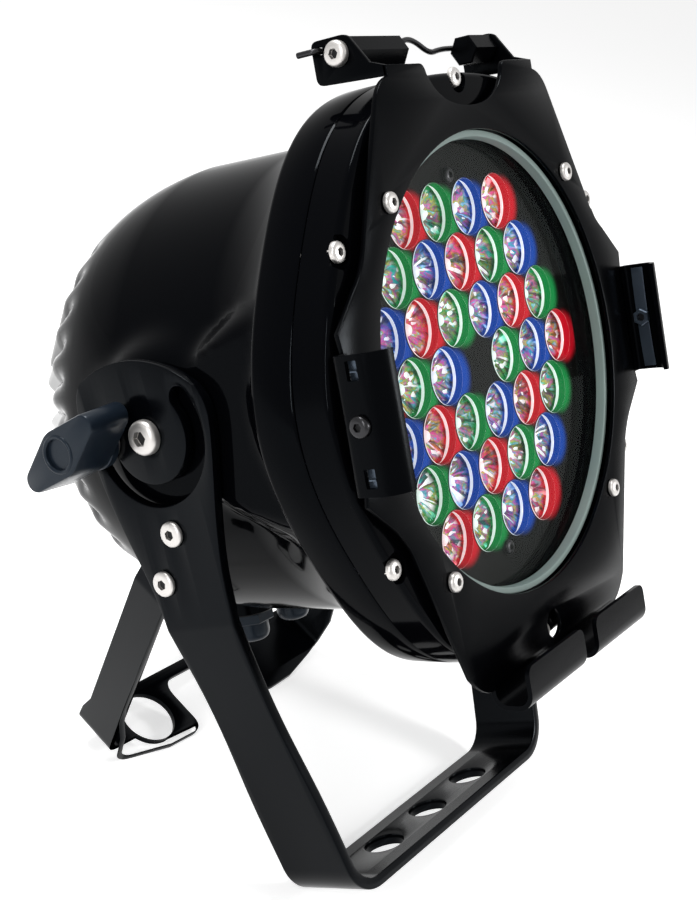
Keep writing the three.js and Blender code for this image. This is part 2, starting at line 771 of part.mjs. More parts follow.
/** The lamps on their board, the black carrier round their rims, and the two screws through both. */
function makeLampBoard() {

	const carrierBackZ = CARRIER_FRONT_Z - CARRIER_T;
	const board = disc( LAMP_BOARD_R, 0, lampBoardBackZ, lampBoardFrontZ );
	const lamps = lampPlaces().map( ( [ x, y ] ) => lampUnit().translate( x, y, 0 ) );
	const screwPlaces = [ [ 0, - BOARD_SCREW_Y ], [ 0, BOARD_SCREW_Y ] ];
	const holes = screwPlaces.map( ( [ x, y ] ) => rod( x, y, SCREW_R + SEAT, lampBoardBackZ - 1, 0, 12 ) );
	const sheet = disc( LAMP_BOARD_R, 0, carrierBackZ, CARRIER_FRONT_Z );
	const spacers = screwPlaces.map( ( [ x, y ] ) => {

		return rod( x, y, SPACER_R, lampBoardFrontZ + SEAT, carrierBackZ + CARRIER_T / 2, 12 );

	} );
	const wells = lampPlaces().map( ( [ x, y ] ) => {

		return rod( x, y, LENS_RIM_R + SEAT, carrierBackZ - 1, CARRIER_FRONT_Z + 1, 8 );

	} );
	const length = CARRIER_FRONT_Z + SEAT - ( sinkFrontZ - BOARD_SCREW_GRIP );
	const screws = screwPlaces.map( ( [ x, y ], i ) => {

		const form = panScrew( SCREW_R, length, BOARD_SCREW_HEAD_R, BOARD_SCREW_HEAD_T, 12 );
		const screw = piece( `lamp_board_screw_${ i + 1 }`, form, stainless );
		screw.position.set( x, y, CARRIER_FRONT_Z + SEAT );
		return screw;

	} );
	return [
		piece( 'lamp_board', cut( join( board, ...lamps ), ...holes ), circuitBoard ),
		piece( 'lamp_carrier', cut( join( sheet, ...spacers ), ...wells, ...holes ), circuitBoard ),
		...screws,
	];

}

/** Comb outline of the fins, in x and z, rooted inside the plate. */
function finComb() {

	const count = 2 * Math.floor( FIN_REACH_R / FIN_PITCH ) + 1;
	const first = - ( count - 1 ) / 2 * FIN_PITCH - FIN_T / 2;
	const root = sinkBackZ + SINK_PLATE_T / 2;
	const comb = new THREE.Shape();
	comb.moveTo( first, root );
	for ( let k = 0; k < count; k ++ ) {

		const x = first + k * FIN_PITCH;
		if ( k > 0 ) comb.lineTo( x, sinkBackZ );
		comb.lineTo( x, finTipZ );
		comb.lineTo( x + FIN_T, finTipZ );
		if ( k < count - 1 ) comb.lineTo( x + FIN_T, sinkBackZ );

	}

	comb.lineTo( - first, root );
	return comb;

}

/** The finned plate that carries the lamps, with four posts for the driver board. */
function makeHeatSink() {

	const plate = disc( GLASS_R, 0, sinkBackZ, sinkFrontZ );
	const fins = facing( extruded( finComb(), - GLASS_R, GLASS_R ) );
	const bound = disc( FIN_REACH_R, 0, finTipZ - 1, sinkFrontZ, 40 );
	const posts = fourCorners( POST_GRID_X, POST_GRID_Y ).map( ( [ x, y ] ) => rod( x, y, POST_R, postTipZ, finTipZ + 2, 12 ) );
	const holes = [ - 1, 1 ].map( ( k ) => rod( 0, k * BOARD_SCREW_Y, SCREW_R + SEAT, sinkFrontZ - 6, sinkFrontZ + 1, 12 ) );
	return piece( 'heat_sink', cut( join( plate, common( fins, bound ), ...posts ), ...holes ), bareAluminium );

}

function makeElectronics() {

	const board = extruded( roundedRectangle( DRIVER_W, DRIVER_H, 4 ), driverBackZ, driverFrontZ, 3 );
	const tipZ = driverBackZ - SUPPLY_STANDOFF + 2;
	const rootZ = driverBackZ + BOARD_T / 2;
	const capacitors = [ - 1, 0, 1 ].map( ( k ) => rod( 18 * k, - 18, 7, tipZ, rootZ, 14 ) );
	const coil = extruded( roundedRectangle( 26, 20, 2 ), tipZ, rootZ, 2 ).translate( 0, 20, 0 );
	const box = extruded( roundedRectangle( SUPPLY_W, SUPPLY_H, 3 ), supplyFrontZ - SUPPLY_DEPTH, supplyFrontZ, 3 );
	const posts = fourCorners( SUPPLY_W / 2 - 9, SUPPLY_H / 2 - 9 ).map( ( [ x, y ] ) => {

		return rod( x, y, SUPPLY_POST_R, supplyFrontZ - 1, driverBackZ - SEAT, 12 );

	} );
	return [
		piece( 'driver_board', join( board, ...capacitors, coil ), circuitBoard ),
		piece( 'power_supply', join( box, ...posts ), zincSteel ),
	];

}

/** The cable glands: a hexagon on its pad, a shank through the wall and a tapered nut. */
function makeGlands() {

	const seat = GLAND_PAD + SEAT;
	const tip = seat + GLAND_LENGTH;
	return [ { name: 'power_gland', x: - GLAND_X }, { name: 'signal_gland', x: GLAND_X } ].map( ( { name, x } ) => {

		const hexagon = disc( GLAND_HEX_FLATS / Math.sqrt( 3 ), 0, seat, seat + 5, 6 );
		const nut = turned( [ [ 0, seat + 4 ], [ GLAND_R, seat + 4 ], [ GLAND_R, tip - 4 ], [ GLAND_TIP_R, tip ], [ 0, tip ] ], 16 );
		const shank = disc( GLAND_R, 0, - 12, seat + 1, 16 );
		const bore = disc( GLAND_BORE_R, 0, - 13, tip + 1, 12 );
		return piece( name, underBody( cut( join( hexagon, nut, shank ), bore ), x ), knobPlastic );

	} );

}

/** Right half of the front plate's edge, from the bottom middle up to the notch. */
function plateEdge() {

	const bottom = HOOK_BOTTOM_Y + HOOK_BEND_R + 2;
	const side = PLATE_HALF_W - CHANNEL_BEND_R;
	const edge = new THREE.Path();
	edge.moveTo( 0, bottom );
	edge.lineTo( HOOK_OUTER_X, bottom );
	edge.quadraticCurveTo( HOOK_OUTER_X + 8, bottom, CHEEK_X, - CHEEK_Y );
	edge.lineTo( SHOULDER_X, SHOULDER_LOW_Y );
	edge.quadraticCurveTo( SHOULDER_X + 2.5, SHOULDER_LOW_Y + 5.5, NECK_X, - NECK_Y );
	edge.lineTo( side + 1, CHANNEL_BOTTOM_Y - 5 );
	edge.lineTo( side, CHANNEL_BOTTOM_Y );
	edge.lineTo( side, CHANNEL_TOP_Y );
	edge.lineTo( side + 1, CHANNEL_TOP_Y + 7 );
	edge.lineTo( NECK_X, NECK_Y );
	edge.quadraticCurveTo( NECK_X - 8.5, NECK_Y + 6.5, SHOULDER_X - 4, SHOULDER_HIGH_Y );
	edge.lineTo( CHEEK_X - 2.5, EAR_TOP_Y - 13 );
	edge.quadraticCurveTo( CHEEK_X - 6, EAR_TOP_Y - 5.5, EAR_OUTER_X, TAB_BOTTOM_Y );
	edge.lineTo( EAR_OUTER_X, EAR_TOP_Y );
	edge.lineTo( EAR_INNER_X + 3, EAR_TOP_Y );
	edge.quadraticCurveTo( EAR_INNER_X, EAR_TOP_Y, EAR_INNER_X - 1, EAR_TOP_Y - 4 );
	edge.quadraticCurveTo( EAR_INNER_X - 8, NOTCH_BOTTOM_Y, 0, NOTCH_BOTTOM_Y );
	return edge.getPoints( 4 );

}

/** The channel beside the opening: side wall, round corner and front lip, on the right. */
function sideChannel() {

	const outer = PLATE_HALF_W;
	const r = CHANNEL_BEND_R;
	const line = [
		[ outer - r - 2, PLATE_BACK_Z ],
		[ outer - PLATE_T, PLATE_BACK_Z ],
		[ outer, plateFrontZ ],
		...bend( [ outer - r, channelFrontZ - r ], r, 0, 90 ),
		[ CHANNEL_LIP_X, channelFrontZ ],
	];
	const height = CHANNEL_TOP_Y - CHANNEL_BOTTOM_Y;
	const sheet = facing( extruded( sheetShape( line, PLATE_T ), 0, height ) ).translate( 0, CHANNEL_TOP_Y, 0 );
	const windows = [ CHANNEL_TOP_Y - WINDOW_INSET, CHANNEL_BOTTOM_Y + WINDOW_INSET ].map( ( y ) => {

		const window = extruded( roundedRectangle( 12, WINDOW_H, 1 ), windowBackZ, windowBackZ + WINDOW_DEPTH, 2 );
		return window.translate( outer, y, 0 );

	} );
	const hole = crossRod( CHANNEL_SCREW_Y, CHANNEL_SCREW_Z, SCREW_R + SEAT, outer - 6, outer + 6, 12 );
	return cut( sheet, ...windows, hole );

}

/** The hook below the opening that holds the frame's lower edge, on the right. */
function bottomHook() {

	const r = HOOK_BEND_R;
	const line = [
		[ HOOK_TIP_Y, channelFrontZ ],
		...bend( [ HOOK_BOTTOM_Y + r, channelFrontZ - r ], r, 90, 180 ),
		...bend( [ HOOK_BOTTOM_Y + r, PLATE_BACK_Z + r ], r, 180, 270 ),
		[ HOOK_BOTTOM_Y + r + 4, PLATE_BACK_Z ],
	];
	const strip = across( extruded( sheetShape( line, PLATE_T ), HOOK_INNER_X, HOOK_OUTER_X ) );
	const width = HOOK_OUTER_X - HOOK_INNER_X;
	const depth = HOOK_TIP_Y - HOOK_BOTTOM_Y + 20;
	const rounding = facing( extruded( roundedRectangle( width, depth, HOOK_CORNER_R ), PLATE_BACK_Z - 1, channelFrontZ + 1, 4 ) );
	rounding.rotateX( - Math.PI / 2 ).translate( ( HOOK_INNER_X + HOOK_OUTER_X ) / 2, HOOK_TIP_Y - depth / 2, 0 );
	return common( strip, rounding );

}

/** The tab bent back from the outer edge of an ear, on the right; it carries a latch bar and the wire. */
function latchTab() {

	const tab = new THREE.Shape();
	tab.moveTo( TAB_BOTTOM_Y, plateFrontZ - 0.5 );
	tab.lineTo( EAR_TOP_Y, plateFrontZ - 0.5 );
	tab.lineTo( EAR_TOP_Y + 2.5, TAB_TOP_FRONT_Z + 8.5 );
	tab.lineTo( TAB_TOP_Y - 1.5, TAB_TOP_FRONT_Z + 1.5 );
	tab.quadraticCurveTo( TAB_TOP_Y, TAB_TOP_FRONT_Z, TAB_TOP_Y, TAB_TOP_FRONT_Z - 2.5 );
	tab.lineTo( TAB_TOP_Y, TAB_REAR_Z + 3 );
	tab.quadraticCurveTo( TAB_TOP_Y, TAB_REAR_Z, TAB_TOP_Y - 3, TAB_REAR_Z );
	tab.lineTo( TAB_BOTTOM_Y + 5, TAB_REAR_Z );
	tab.quadraticCurveTo( TAB_BOTTOM_Y + 2, TAB_REAR_Z, TAB_BOTTOM_Y + 1.7, TAB_REAR_Z + 3 );
	const sheet = across( extruded( tab, tabInnerX, EAR_OUTER_X, 4 ) );
	const screwHole = crossRod( LATCH_Y, LATCH_Z, LATCH_SCREW_R + SEAT, tabInnerX - 1, EAR_OUTER_X + 1, 12 );
	const wireHole = crossRod( WIRE_Y, wireZ, WIRE_R + RUNNING, tabInnerX - 1, EAR_OUTER_X + 1, 10 );
	return cut( sheet, screwHole, wireHole );

}

/** The leaf spring inside a side channel, hooked into its windows, with a hole for its screw. */
function leafSpring() {

	const wallX = PLATE_HALF_W - PLATE_T - SEAT;
	const tipX = PLATE_HALF_W - PLATE_T / 2;
	const reach = ( CHANNEL_TOP_Y - CHANNEL_BOTTOM_Y ) / 2 - WINDOW_INSET;
	const middle = ( CHANNEL_TOP_Y + CHANNEL_BOTTOM_Y ) / 2;
	const leafZ = CHANNEL_SCREW_Z - LEAF_W / 2;
	const hookZ = CHANNEL_SCREW_Z - LEAF_HOOK_W / 2;
	const strip = new THREE.BoxGeometry( LEAF_T, 2 * reach, LEAF_W );
	strip.translate( wallX - LEAF_T / 2, middle, leafZ + LEAF_W / 2 );
	const hooks = [ - 1, 1 ].map( ( k ) => {

		const hook = new THREE.BoxGeometry( tipX - wallX + LEAF_T, LEAF_T, LEAF_HOOK_W );
		return hook.translate( ( tipX + wallX - LEAF_T ) / 2, middle + k * ( reach - LEAF_T / 2 ), hookZ + LEAF_HOOK_W / 2 );

	} );
	const hole = crossRod( CHANNEL_SCREW_Y, CHANNEL_SCREW_Z, SCREW_R + SEAT, wallX - 2, wallX + 1, 12 );
	return cut( join( strip, ...hooks ), hole );

}

function makeLeafSprings() {

	return [ piece( 'frame_spring_right', leafSpring(), blackOxide ), piece( 'frame_spring_left', mirrored( leafSpring() ), blackOxide ) ];

}

function makeFrontPlate() {

	const right = plateEdge();
	const left = right.slice( 1, - 1 ).map( ( p ) => new THREE.Vector2( - p.x, p.y ) ).reverse();
	const outline = new THREE.Shape( [ ...right, ...left ] );
	const holes = [
		disc( PLATE_OPENING_R, 0, PLATE_BACK_Z - 1, plateFrontZ + 1 ),
		rod( 0, ACCESS_HOLE_Y, ACCESS_HOLE_R, PLATE_BACK_Z - 1, plateFrontZ + 1 ),
		...fourCorners( PLATE_SCREW_XY, PLATE_SCREW_XY ).map( ( [ x, y ] ) => {

			return rod( x, y, SCREW_R + SEAT, PLATE_BACK_Z - 1, plateFrontZ + 1, 8 );

		} ),
	];
	const bends = [ sideChannel(), bottomHook(), latchTab() ];
	const sheet = cut( extruded( outline, PLATE_BACK_Z, plateFrontZ ), ...holes );
	return piece( 'front_plate', join( sheet, ...bends, ...bends.map( mirrored ) ), satinBlack );

}

function makeHeadScrews() {

	const screws = [];
	bezelScrewPlaces().forEach( ( [ x, y ], i ) => {

		const form = panScrew( SCREW_R, BEZEL_SCREW_LENGTH, SCREW_HEAD_R, SCREW_HEAD_T );
		const screw = piece( `bezel_screw_${ i + 1 }`, form, stainless );
		screw.position.set( x, y, POCKET_FLOOR_Z + SEAT );
		screws.push( screw );

	} );
	fourCorners( PLATE_SCREW_XY, PLATE_SCREW_XY ).forEach( ( [ x, y ], i ) => {

		const form = panScrew( SCREW_R, plateFrontZ - 1, SCREW_HEAD_R, SCREW_HEAD_T );
		const screw = piece( `plate_screw_${ i + 1 }`, form, stainless );
		screw.position.set( x, y, plateFrontZ + SEAT );
		screws.push( screw );

	} );
	SIDES.forEach( ( { name, sign } ) => {

		const form = panScrew( SCREW_R, 2 * PLATE_T, SCREW_HEAD_R, SCREW_HEAD_T );
		const screw = piece( `channel_screw_${ name }`, form, blackOxide );
		screw.position.set( sign * ( PLATE_HALF_W + SEAT ), CHANNEL_SCREW_Y, CHANNEL_SCREW_Z );
		screw.rotation.y = sign * Math.PI / 2;
		screws.push( screw );

	} );
	return screws;

}

/** The two hexagonal bars between the ears, each held by a screw through its tab. */
function makeLatchBars() {

	return SIDES.flatMap( ( { name, sign } ) => {

		const length = sign < 0 ? LATCH_BAR_LEFT_LENGTH : LATCH_BAR_RIGHT_LENGTH;
		const end = sign * ( tabInnerX - SEAT );
		const bar = crossRod( LATCH_Y, LATCH_Z, latchBarR, end, end - sign * length, 6 );
		const bore = crossRod( LATCH_Y, LATCH_Z, LATCH_SCREW_R + SEAT, end + sign, end - sign * ( LATCH_SCREW_LENGTH - 1 ), 12 );
		const screw = piece( `latch_screw_${ name }`, panScrew( LATCH_SCREW_R, LATCH_SCREW_LENGTH, LATCH_SCREW_HEAD_R, LATCH_SCREW_HEAD_T ), stainless );
		screw.position.set( sign * ( EAR_OUTER_X + SEAT ), LATCH_Y, LATCH_Z );
		screw.rotation.y = sign * Math.PI / 2;
		return [ piece( `latch_bar_${ name }`, cut( bar, bore ), satinBlack ), screw ];

	} );

}

/** The spring wire behind the bars, kinked in the middle and turned back at both ends. */
function makeLatchWire() {

	const end = EAR_OUTER_X + SEAT + 2 * WIRE_R + 0.6;
	const places = [
		[ - end, 0, - WIRE_TAIL ],
		[ - end, 0, - WIRE_TAIL / 2 ],
		[ - end + 0.6, 0, - 0.6 ],
		[ - end + 4, 0, 0 ],
		[ - 24, 0, 0 ],
		[ - 2, 0.6, 0 ],
		[ 3, 0.9 * WIRE_KINK, 0 ],
		[ 11, 0.8 * WIRE_KINK, 0 ],
		[ 22, - 0.45 * WIRE_KINK, 0 ],
		[ 30, - 0.1 * WIRE_KINK, 0 ],
		[ 40, 0, 0 ],
		[ end - 4, 0, 0 ],
		[ end - 0.6, 0, - 0.6 ],
		[ end, 0, - WIRE_TAIL / 2 ],
		[ end, 0, - WIRE_TAIL ],
	];
	const route = new THREE.CatmullRomCurve3( places.map( ( p ) => new THREE.Vector3( ...p ) ), false, 'catmullrom', 0.35 );
	const section = new THREE.Shape().absarc( 0, 0, WIRE_R, 0, 2 * Math.PI, false );
	const form = new THREE.ExtrudeGeometry( section, { steps: 36, curveSegments: 3, extrudePath: route } );
	const wire = piece( 'latch_wire', form, blackOxide );
	wire.position.set( 0, WIRE_Y, wireZ );
	return wire;

}

// Pivots, studs and knobs, in the head's frame

function makePivots() {

	return SIDES.flatMap( ( { name, sign } ) => {

		const grip = STAND_OUTER_X + SEAT - ( PAD_FACE_X - PIVOT_BOLT_DEPTH );
		const socket = disc( 2.9, 0, PIVOT_HEAD_T - 2.6, PIVOT_HEAD_T + 1, 6 );
		const form = cut( panScrew( PIVOT_BOLT_R, grip, PIVOT_HEAD_R, PIVOT_HEAD_T, 14 ), socket );
		const bolt = piece( `pivot_bolt_${ name }`, form, stainless );
		bolt.position.set( sign * ( STAND_OUTER_X + SEAT ), 0, PIVOT_Z );
		bolt.rotation.y = sign * Math.PI / 2;
		const thickness = standInnerX - PAD_FACE_X - 2 * SEAT;
		const washerForm = disc( PIVOT_WASHER_R, PIVOT_BOLT_R + SEAT, 0, thickness, 18 );
		const washer = piece( `pivot_washer_${ name }`, washerForm, fibre );
		washer.position.set( sign * ( PAD_FACE_X + SEAT ), 0, PIVOT_Z );
		washer.rotation.y = sign * Math.PI / 2;
		return [ bolt, washer ];

	} );

}

/** A wing knob along its own z: a thick-waisted bar on a round hub, with a blind bore and a recessed cap. */
function wingKnob( turnDeg ) {

	const tipX = KNOB_WING_REACH - KNOB_WING_TIP_R;
	const lean = Math.asin( ( KNOB_WAIST_R - KNOB_WING_TIP_R ) / tipX );
	const quarter = Math.PI / 2;
	const wing = new THREE.Shape();
	wing.absarc( tipX, 0, KNOB_WING_TIP_R, lean - quarter, quarter - lean, false );
	wing.absarc( 0, 0, KNOB_WAIST_R, quarter - lean, quarter + lean, false );
	wing.absarc( - tipX, 0, KNOB_WING_TIP_R, quarter + lean, 3 * quarter - lean, false );
	wing.absarc( 0, 0, KNOB_WAIST_R, 3 * quarter - lean, 3 * quarter + lean, false );
	const bar = extruded( wing, KNOB_HUB_H - 1, KNOB_DEPTH, 5 );
	const places = bar.getAttribute( 'position' );
	for ( let i = 0; i < places.count; i ++ ) {

		const scale = 1 - KNOB_TAPER * THREE.MathUtils.smoothstep( places.getZ( i ), KNOB_HUB_H, KNOB_DEPTH );
		places.setXY( i, places.getX( i ) * scale, places.getY( i ) * scale );

	}

	const hub = disc( KNOB_HUB_R, 0, 0, KNOB_HUB_H, 16 );
	const recess = disc( KNOB_RECESS_R, 0, KNOB_DEPTH - KNOB_RECESS, KNOB_DEPTH + 1, 16 );
	const bore = disc( STUD_R + SEAT, 0, - 1, KNOB_BORE_DEPTH, 12 );
	return cut( join( hub, bar.rotateZ( deg( turnDeg ) ) ), recess, bore );

}

function makeClamps() {

	return SIDES.flatMap( ( { name, sign } ) => {

		const z = PIVOT_Z - STUD_RADIUS;
		const washerX = STAND_OUTER_X + SEAT;
		const knobX = washerX + KNOB_WASHER_T + SEAT;
		const studForm = crossRod( 0, z, STUD_R, sign * ( PAD_FACE_X - STUD_DEPTH ), sign * ( knobX + KNOB_BORE_DEPTH - SEAT ) );
		const washer = piece( `knob_washer_${ name }`, disc( KNOB_WASHER_R, STUD_R + SEAT, 0, KNOB_WASHER_T, 14 ), stainless );
		washer.position.set( sign * washerX, 0, z );
		washer.rotation.y = sign * Math.PI / 2;
		const turnDeg = sign < 0 ? KNOB_TURN_DEG : 180 - KNOB_TURN_DEG;
		const knob = piece( `clamp_knob_${ name }`, wingKnob( turnDeg ), knobPlastic );
		knob.position.set( sign * knobX, 0, z );
		knob.rotation.y = sign * Math.PI / 2;
		return [ piece( `clamp_stud_${ name }`, studForm, stainless ), washer, knob ];

	} );

}

// The stands, in their own frames: the pivot at the origin, z up the arm and y to the rear

/** Outer line of a bent strap in x and z: foot, bend, leaning arm and straight top. */
function strapLine( { outerX, footZ, footR, leanZ, leanDeg, topZ } ) {

	const lean = deg( leanDeg );
	const centreZ = footZ + footR;
	const along = ( centreZ - footR * Math.sin( lean ) - leanZ ) / Math.cos( lean );
	const centreX = outerX + along * Math.sin( lean ) - footR * Math.cos( lean );
	const right = [ ...bend( [ centreX, centreZ ], footR, - 90, - leanDeg, 4 ), [ outerX, leanZ ], [ outerX, topZ ] ];
	const left = right.map( ( [ x, z ] ) => [ - x, z ] ).reverse();
	return [ ...left, ...right ];

}

/** Side outline of the front stand, drawn as y and z. */
function frontStandSide() {

	const foot = STAND_W / 2;
	const waist = STAND_WAIST_W / 2;
	const bottom = - STAND_REACH - STAND_T;
	const side = new THREE.Shape();
	side.moveTo( - foot, bottom );
	side.lineTo( foot, bottom );
	side.lineTo( foot, - 176.5 );
	side.bezierCurveTo( foot, - 150, waist, - 140, waist, - STAND_WAIST_N );
	side.bezierCurveTo( waist, - 100, 17.5, - 88, 18.6, - 72 );
	side.bezierCurveTo( 20, - 55, 28, - 38, 31.2, - 16 );
	side.lineTo( 34, 8 );
	side.quadraticCurveTo( 35.5, 22, 28, 26.8 );
	side.absarc( - HEAD_TOP_U, HEAD_TOP_N, HEAD_TOP_R, deg( 66 ), deg( 136 ), false );
	side.quadraticCurveTo( - 33.5, 11, - 33.2, 3 );
	side.bezierCurveTo( - 31.5, - 12, - 19.5, - 42, - 18.2, - 64 );
	side.bezierCurveTo( - 17, - 85, - waist, - 100, - waist, - STAND_WAIST_N );
	side.bezierCurveTo( - waist, - 140, - foot, - 150, - foot, - 176.5 );
	return side;

}

/** The curved slot round the pivot that the clamp stud slides in, drawn as y and z. */
function tiltSlot() {

	const from = deg( 180 - SLOT_FRONT_DEG );
	const to = deg( 180 - SLOT_REAR_DEG );
	const half = SLOT_W / 2;
	const slot = new THREE.Shape();
	slot.absarc( 0, 0, STUD_RADIUS + half, from, to, false );
	slot.absarc( STUD_RADIUS * Math.cos( to ), STUD_RADIUS * Math.sin( to ), half, to, to + Math.PI, false );
	slot.absarc( 0, 0, STUD_RADIUS - half, to, from, true );
	slot.absarc( STUD_RADIUS * Math.cos( from ), STUD_RADIUS * Math.sin( from ), half, from + Math.PI, from + 2 * Math.PI, false );
	return slot;

}

/** Where a place in the rear stand's frame lies in the front stand's frame, as [y, z]. */
function fromBrace( c, t ) {

	const angle = deg( BRACE_FROM_ARM_DEG );
	return [ - c * Math.cos( angle ) + t * Math.sin( angle ), - c * Math.sin( angle ) - t * Math.cos( angle ) ];

}

function makeFrontStand() {

	const line = strapLine( {
		outerX: STAND_OUTER_X,
		footZ: - STAND_REACH - STAND_T,
		footR: STAND_FOOT_R,
		leanZ: - STAND_LEAN_START,
		leanDeg: STAND_LEAN_DEG,
		topZ: HEAD_TOP_R,
	} );
	const reach = STAND_OUTER_X + 5;
	const strap = facing( extruded( sheetShape( line, STAND_T ), - reach, reach ) );
	const side = across( extruded( frontStandSide(), - reach, reach, 4 ) );
	const holes = [ - 1, 0, 1 ].map( ( k ) => {

		return rod( k * STAND_HOLE_PITCH, 0, STAND_HOLE_R, - STAND_REACH - STAND_T - 1, - STAND_REACH + 1, 16 );

	} );
	holes.push( across( extruded( tiltSlot(), - reach, reach, 7 ) ) );
	holes.push( crossRod( 0, 0, PIVOT_BOLT_R + RUNNING, - reach, reach ) );
	BRACE_SCREWS.forEach( ( { t, c } ) => {

		const [ y, z ] = fromBrace( c, t );
		holes.push( crossRod( y, z, BRACE_SCREW_R + SEAT, - reach, reach, 12 ) );

	} );
	return piece( 'front_stand', cut( common( strap, side ), ...holes ), standBlack );

}

/** Side outline of the rear stand, drawn as y and z. */
function rearStandSide() {

	const foot = - BRACE_REACH - BRACE_T;
	const rear = - BRACE_ARM_REAR_C;
	const front = - BRACE_ARM_C;
	const side = new THREE.Shape();
	side.moveTo( - BRACE_REAR_C, foot - 1 );
	side.lineTo( - BRACE_REAR_C, foot + 8 );
	side.lineTo( rear, foot + 22 );
	side.lineTo( rear, - BRACE_TOP_T - 8 );
	side.quadraticCurveTo( rear, - BRACE_TOP_T, rear - 8, - BRACE_TOP_T );
	side.lineTo( front + 9, - BRACE_TOP_T );
	side.quadraticCurveTo( front, - BRACE_TOP_T - 3, front, - BRACE_TOP_T - 14 );
	side.lineTo( front, foot + 24 );
	side.quadraticCurveTo( front, foot + 13, front - 4, foot + 9 );
	side.lineTo( - BRACE_FRONT_C - 1, foot + 7 );
	side.lineTo( - BRACE_FRONT_C - 1, foot - 1 );
	return side;

}

/** Plan of the rear stand's foot: two tongues with a deep notch between them, drawn as x and y. */
function rearStandPlan() {

	const far = STAND_OUTER_X;
	const tip = - BRACE_FRONT_C;
	const notch = BRACE_NOTCH_X;
	const plan = new THREE.Shape();
	plan.moveTo( - far, - BRACE_REAR_C );
	plan.lineTo( far, - BRACE_REAR_C );
	plan.lineTo( far, - BRACE_ARM_C - 2.5 );
	plan.lineTo( 77, - 44.2 );
	plan.lineTo( 62.8, - 46.6 );
	plan.lineTo( notch + 8, tip + 1 );
	plan.quadraticCurveTo( notch, tip - 0.4, notch, tip + 7 );
	plan.lineTo( notch, - BRACE_NOTCH_C - 9 );
	plan.quadraticCurveTo( notch, - BRACE_NOTCH_C, notch - 9, - BRACE_NOTCH_C );
	plan.lineTo( - notch + 9, - BRACE_NOTCH_C );
	plan.quadraticCurveTo( - notch, - BRACE_NOTCH_C, - notch, - BRACE_NOTCH_C - 9 );
	plan.lineTo( - notch, tip + 7 );
	plan.quadraticCurveTo( - notch, tip, - notch - 7, tip );
	plan.lineTo( - 52, tip + 0.6 );
	plan.lineTo( - 69, - 50 );
	plan.lineTo( - 77, - 48 );
	plan.lineTo( - far, - BRACE_ARM_C - 2.5 );
	return plan;

}

function makeRearStand() {

	const line = strapLine( {
		outerX: braceOuterX,
		footZ: - BRACE_REACH - BRACE_T,
		footR: BRACE_FOOT_R,
		leanZ: - BRACE_LEAN_START,
		leanDeg: BRACE_LEAN_DEG,
		topZ: 0,
	} );
	const reach = STAND_OUTER_X;
	const strap = facing( extruded( sheetShape( line, BRACE_T ), - reach, reach ) );
	const side = across( extruded( rearStandSide(), - reach, reach, 3 ) );
	const plan = extruded( rearStandPlan(), - BRACE_REACH - 2 * BRACE_T, 1, 3 );
	const holes = [ rod( BRACE_HOLE_X, - BRACE_HOLE_C, BRACE_HOLE_R, - BRACE_REACH - BRACE_T - 1, - BRACE_REACH + 1, 20 ) ];
	BRACE_SCREWS.forEach( ( { t, c } ) => holes.push( crossRod( - c, - t, BRACE_SCREW_R + SEAT, - reach, reach, 12 ) ) );
	return piece( 'rear_stand', cut( common( strap, side, plan ), ...holes ), standBlack );

}

function makeBraceScrews() {

	const length = STAND_T + BRACE_T + 2 * SEAT;
	return SIDES.flatMap( ( { name, sign } ) => BRACE_SCREWS.map( ( { t, c }, i ) => {

		const form = panScrew( BRACE_SCREW_R, length, BRACE_SCREW_HEAD_R, BRACE_SCREW_HEAD_T );
		const screw = piece( `stand_screw_${ name }_${ i + 1 }`, form, stainless );
		screw.position.set( sign * ( STAND_OUTER_X + SEAT ), ...fromBrace( c, t ) );
		screw.rotation.y = sign * Math.PI / 2;
		return screw;

	} ) );

}

// Assembly

const head = new THREE.Group();
head.position.z = - PIVOT_Z;
head.add(
	makeHousing(),
	makeBezel(),
	...makeGlassStack(),
	...makeLampBoard(),
	makeHeatSink(),
	...makeElectronics(),
	...makeGlands(),
	makeFrontPlate(),
	...makeLeafSprings(),
	...makeHeadScrews(),
	...makeLatchBars(),
	makeLatchWire(),
	...makePivots(),
	...makeClamps(),
);

const tilt = new THREE.Group();
tilt.rotation.x = deg( 180 - BEAM_FROM_ARM_DEG );
tilt.add( head );

const brace = new THREE.Group();
brace.rotation.x = deg( BRACE_FROM_ARM_DEG );
brace.add( makeRearStand() );

// The light stands on the front strap's rear edge and on the rear stand's tongues
const [ rearContactY, rearContactZ ] = fromBrace( BRACE_FRONT_C, BRACE_REACH + BRACE_T );
const frontContactY = STAND_W / 2;
const frontContactZ = - STAND_REACH - STAND_T;
const stand = new THREE.Group();
stand.rotation.x = - Math.atan2( rearContactZ - frontContactZ, rearContactY - frontContactY );
stand.add( makeFrontStand(), brace, ...makeBraceScrews(), tilt );

const light = new THREE.Group();
light.add( stand );
light.updateMatrixWorld( true );
const outline = new THREE.Box3().setFromObject( light, true );
const middle = outline.getCenter( new THREE.Vector3() );
stand.position.set( - middle.x, - middle.y, - outline.min.z );

export default light;
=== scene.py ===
"""A stage par can light: an LED head on two bent stands, dressed for a studio view.

Sizes are in millimetres in each sub-assembly's own frame. Three frames are used: the head's
(x across, y up, z along the beam), the front stand's and the rear stand's (both from the pivot,
z up the arm, y to the rear). Finished meshes lie in metres in the shared frame.
"""

from __future__ import annotations

import json
import logging
import math
from collections.abc import Iterable, Sequence
from dataclasses import dataclass, field
from enum import Enum

import bmesh
import bpy
from mathutils import Matrix, Vector

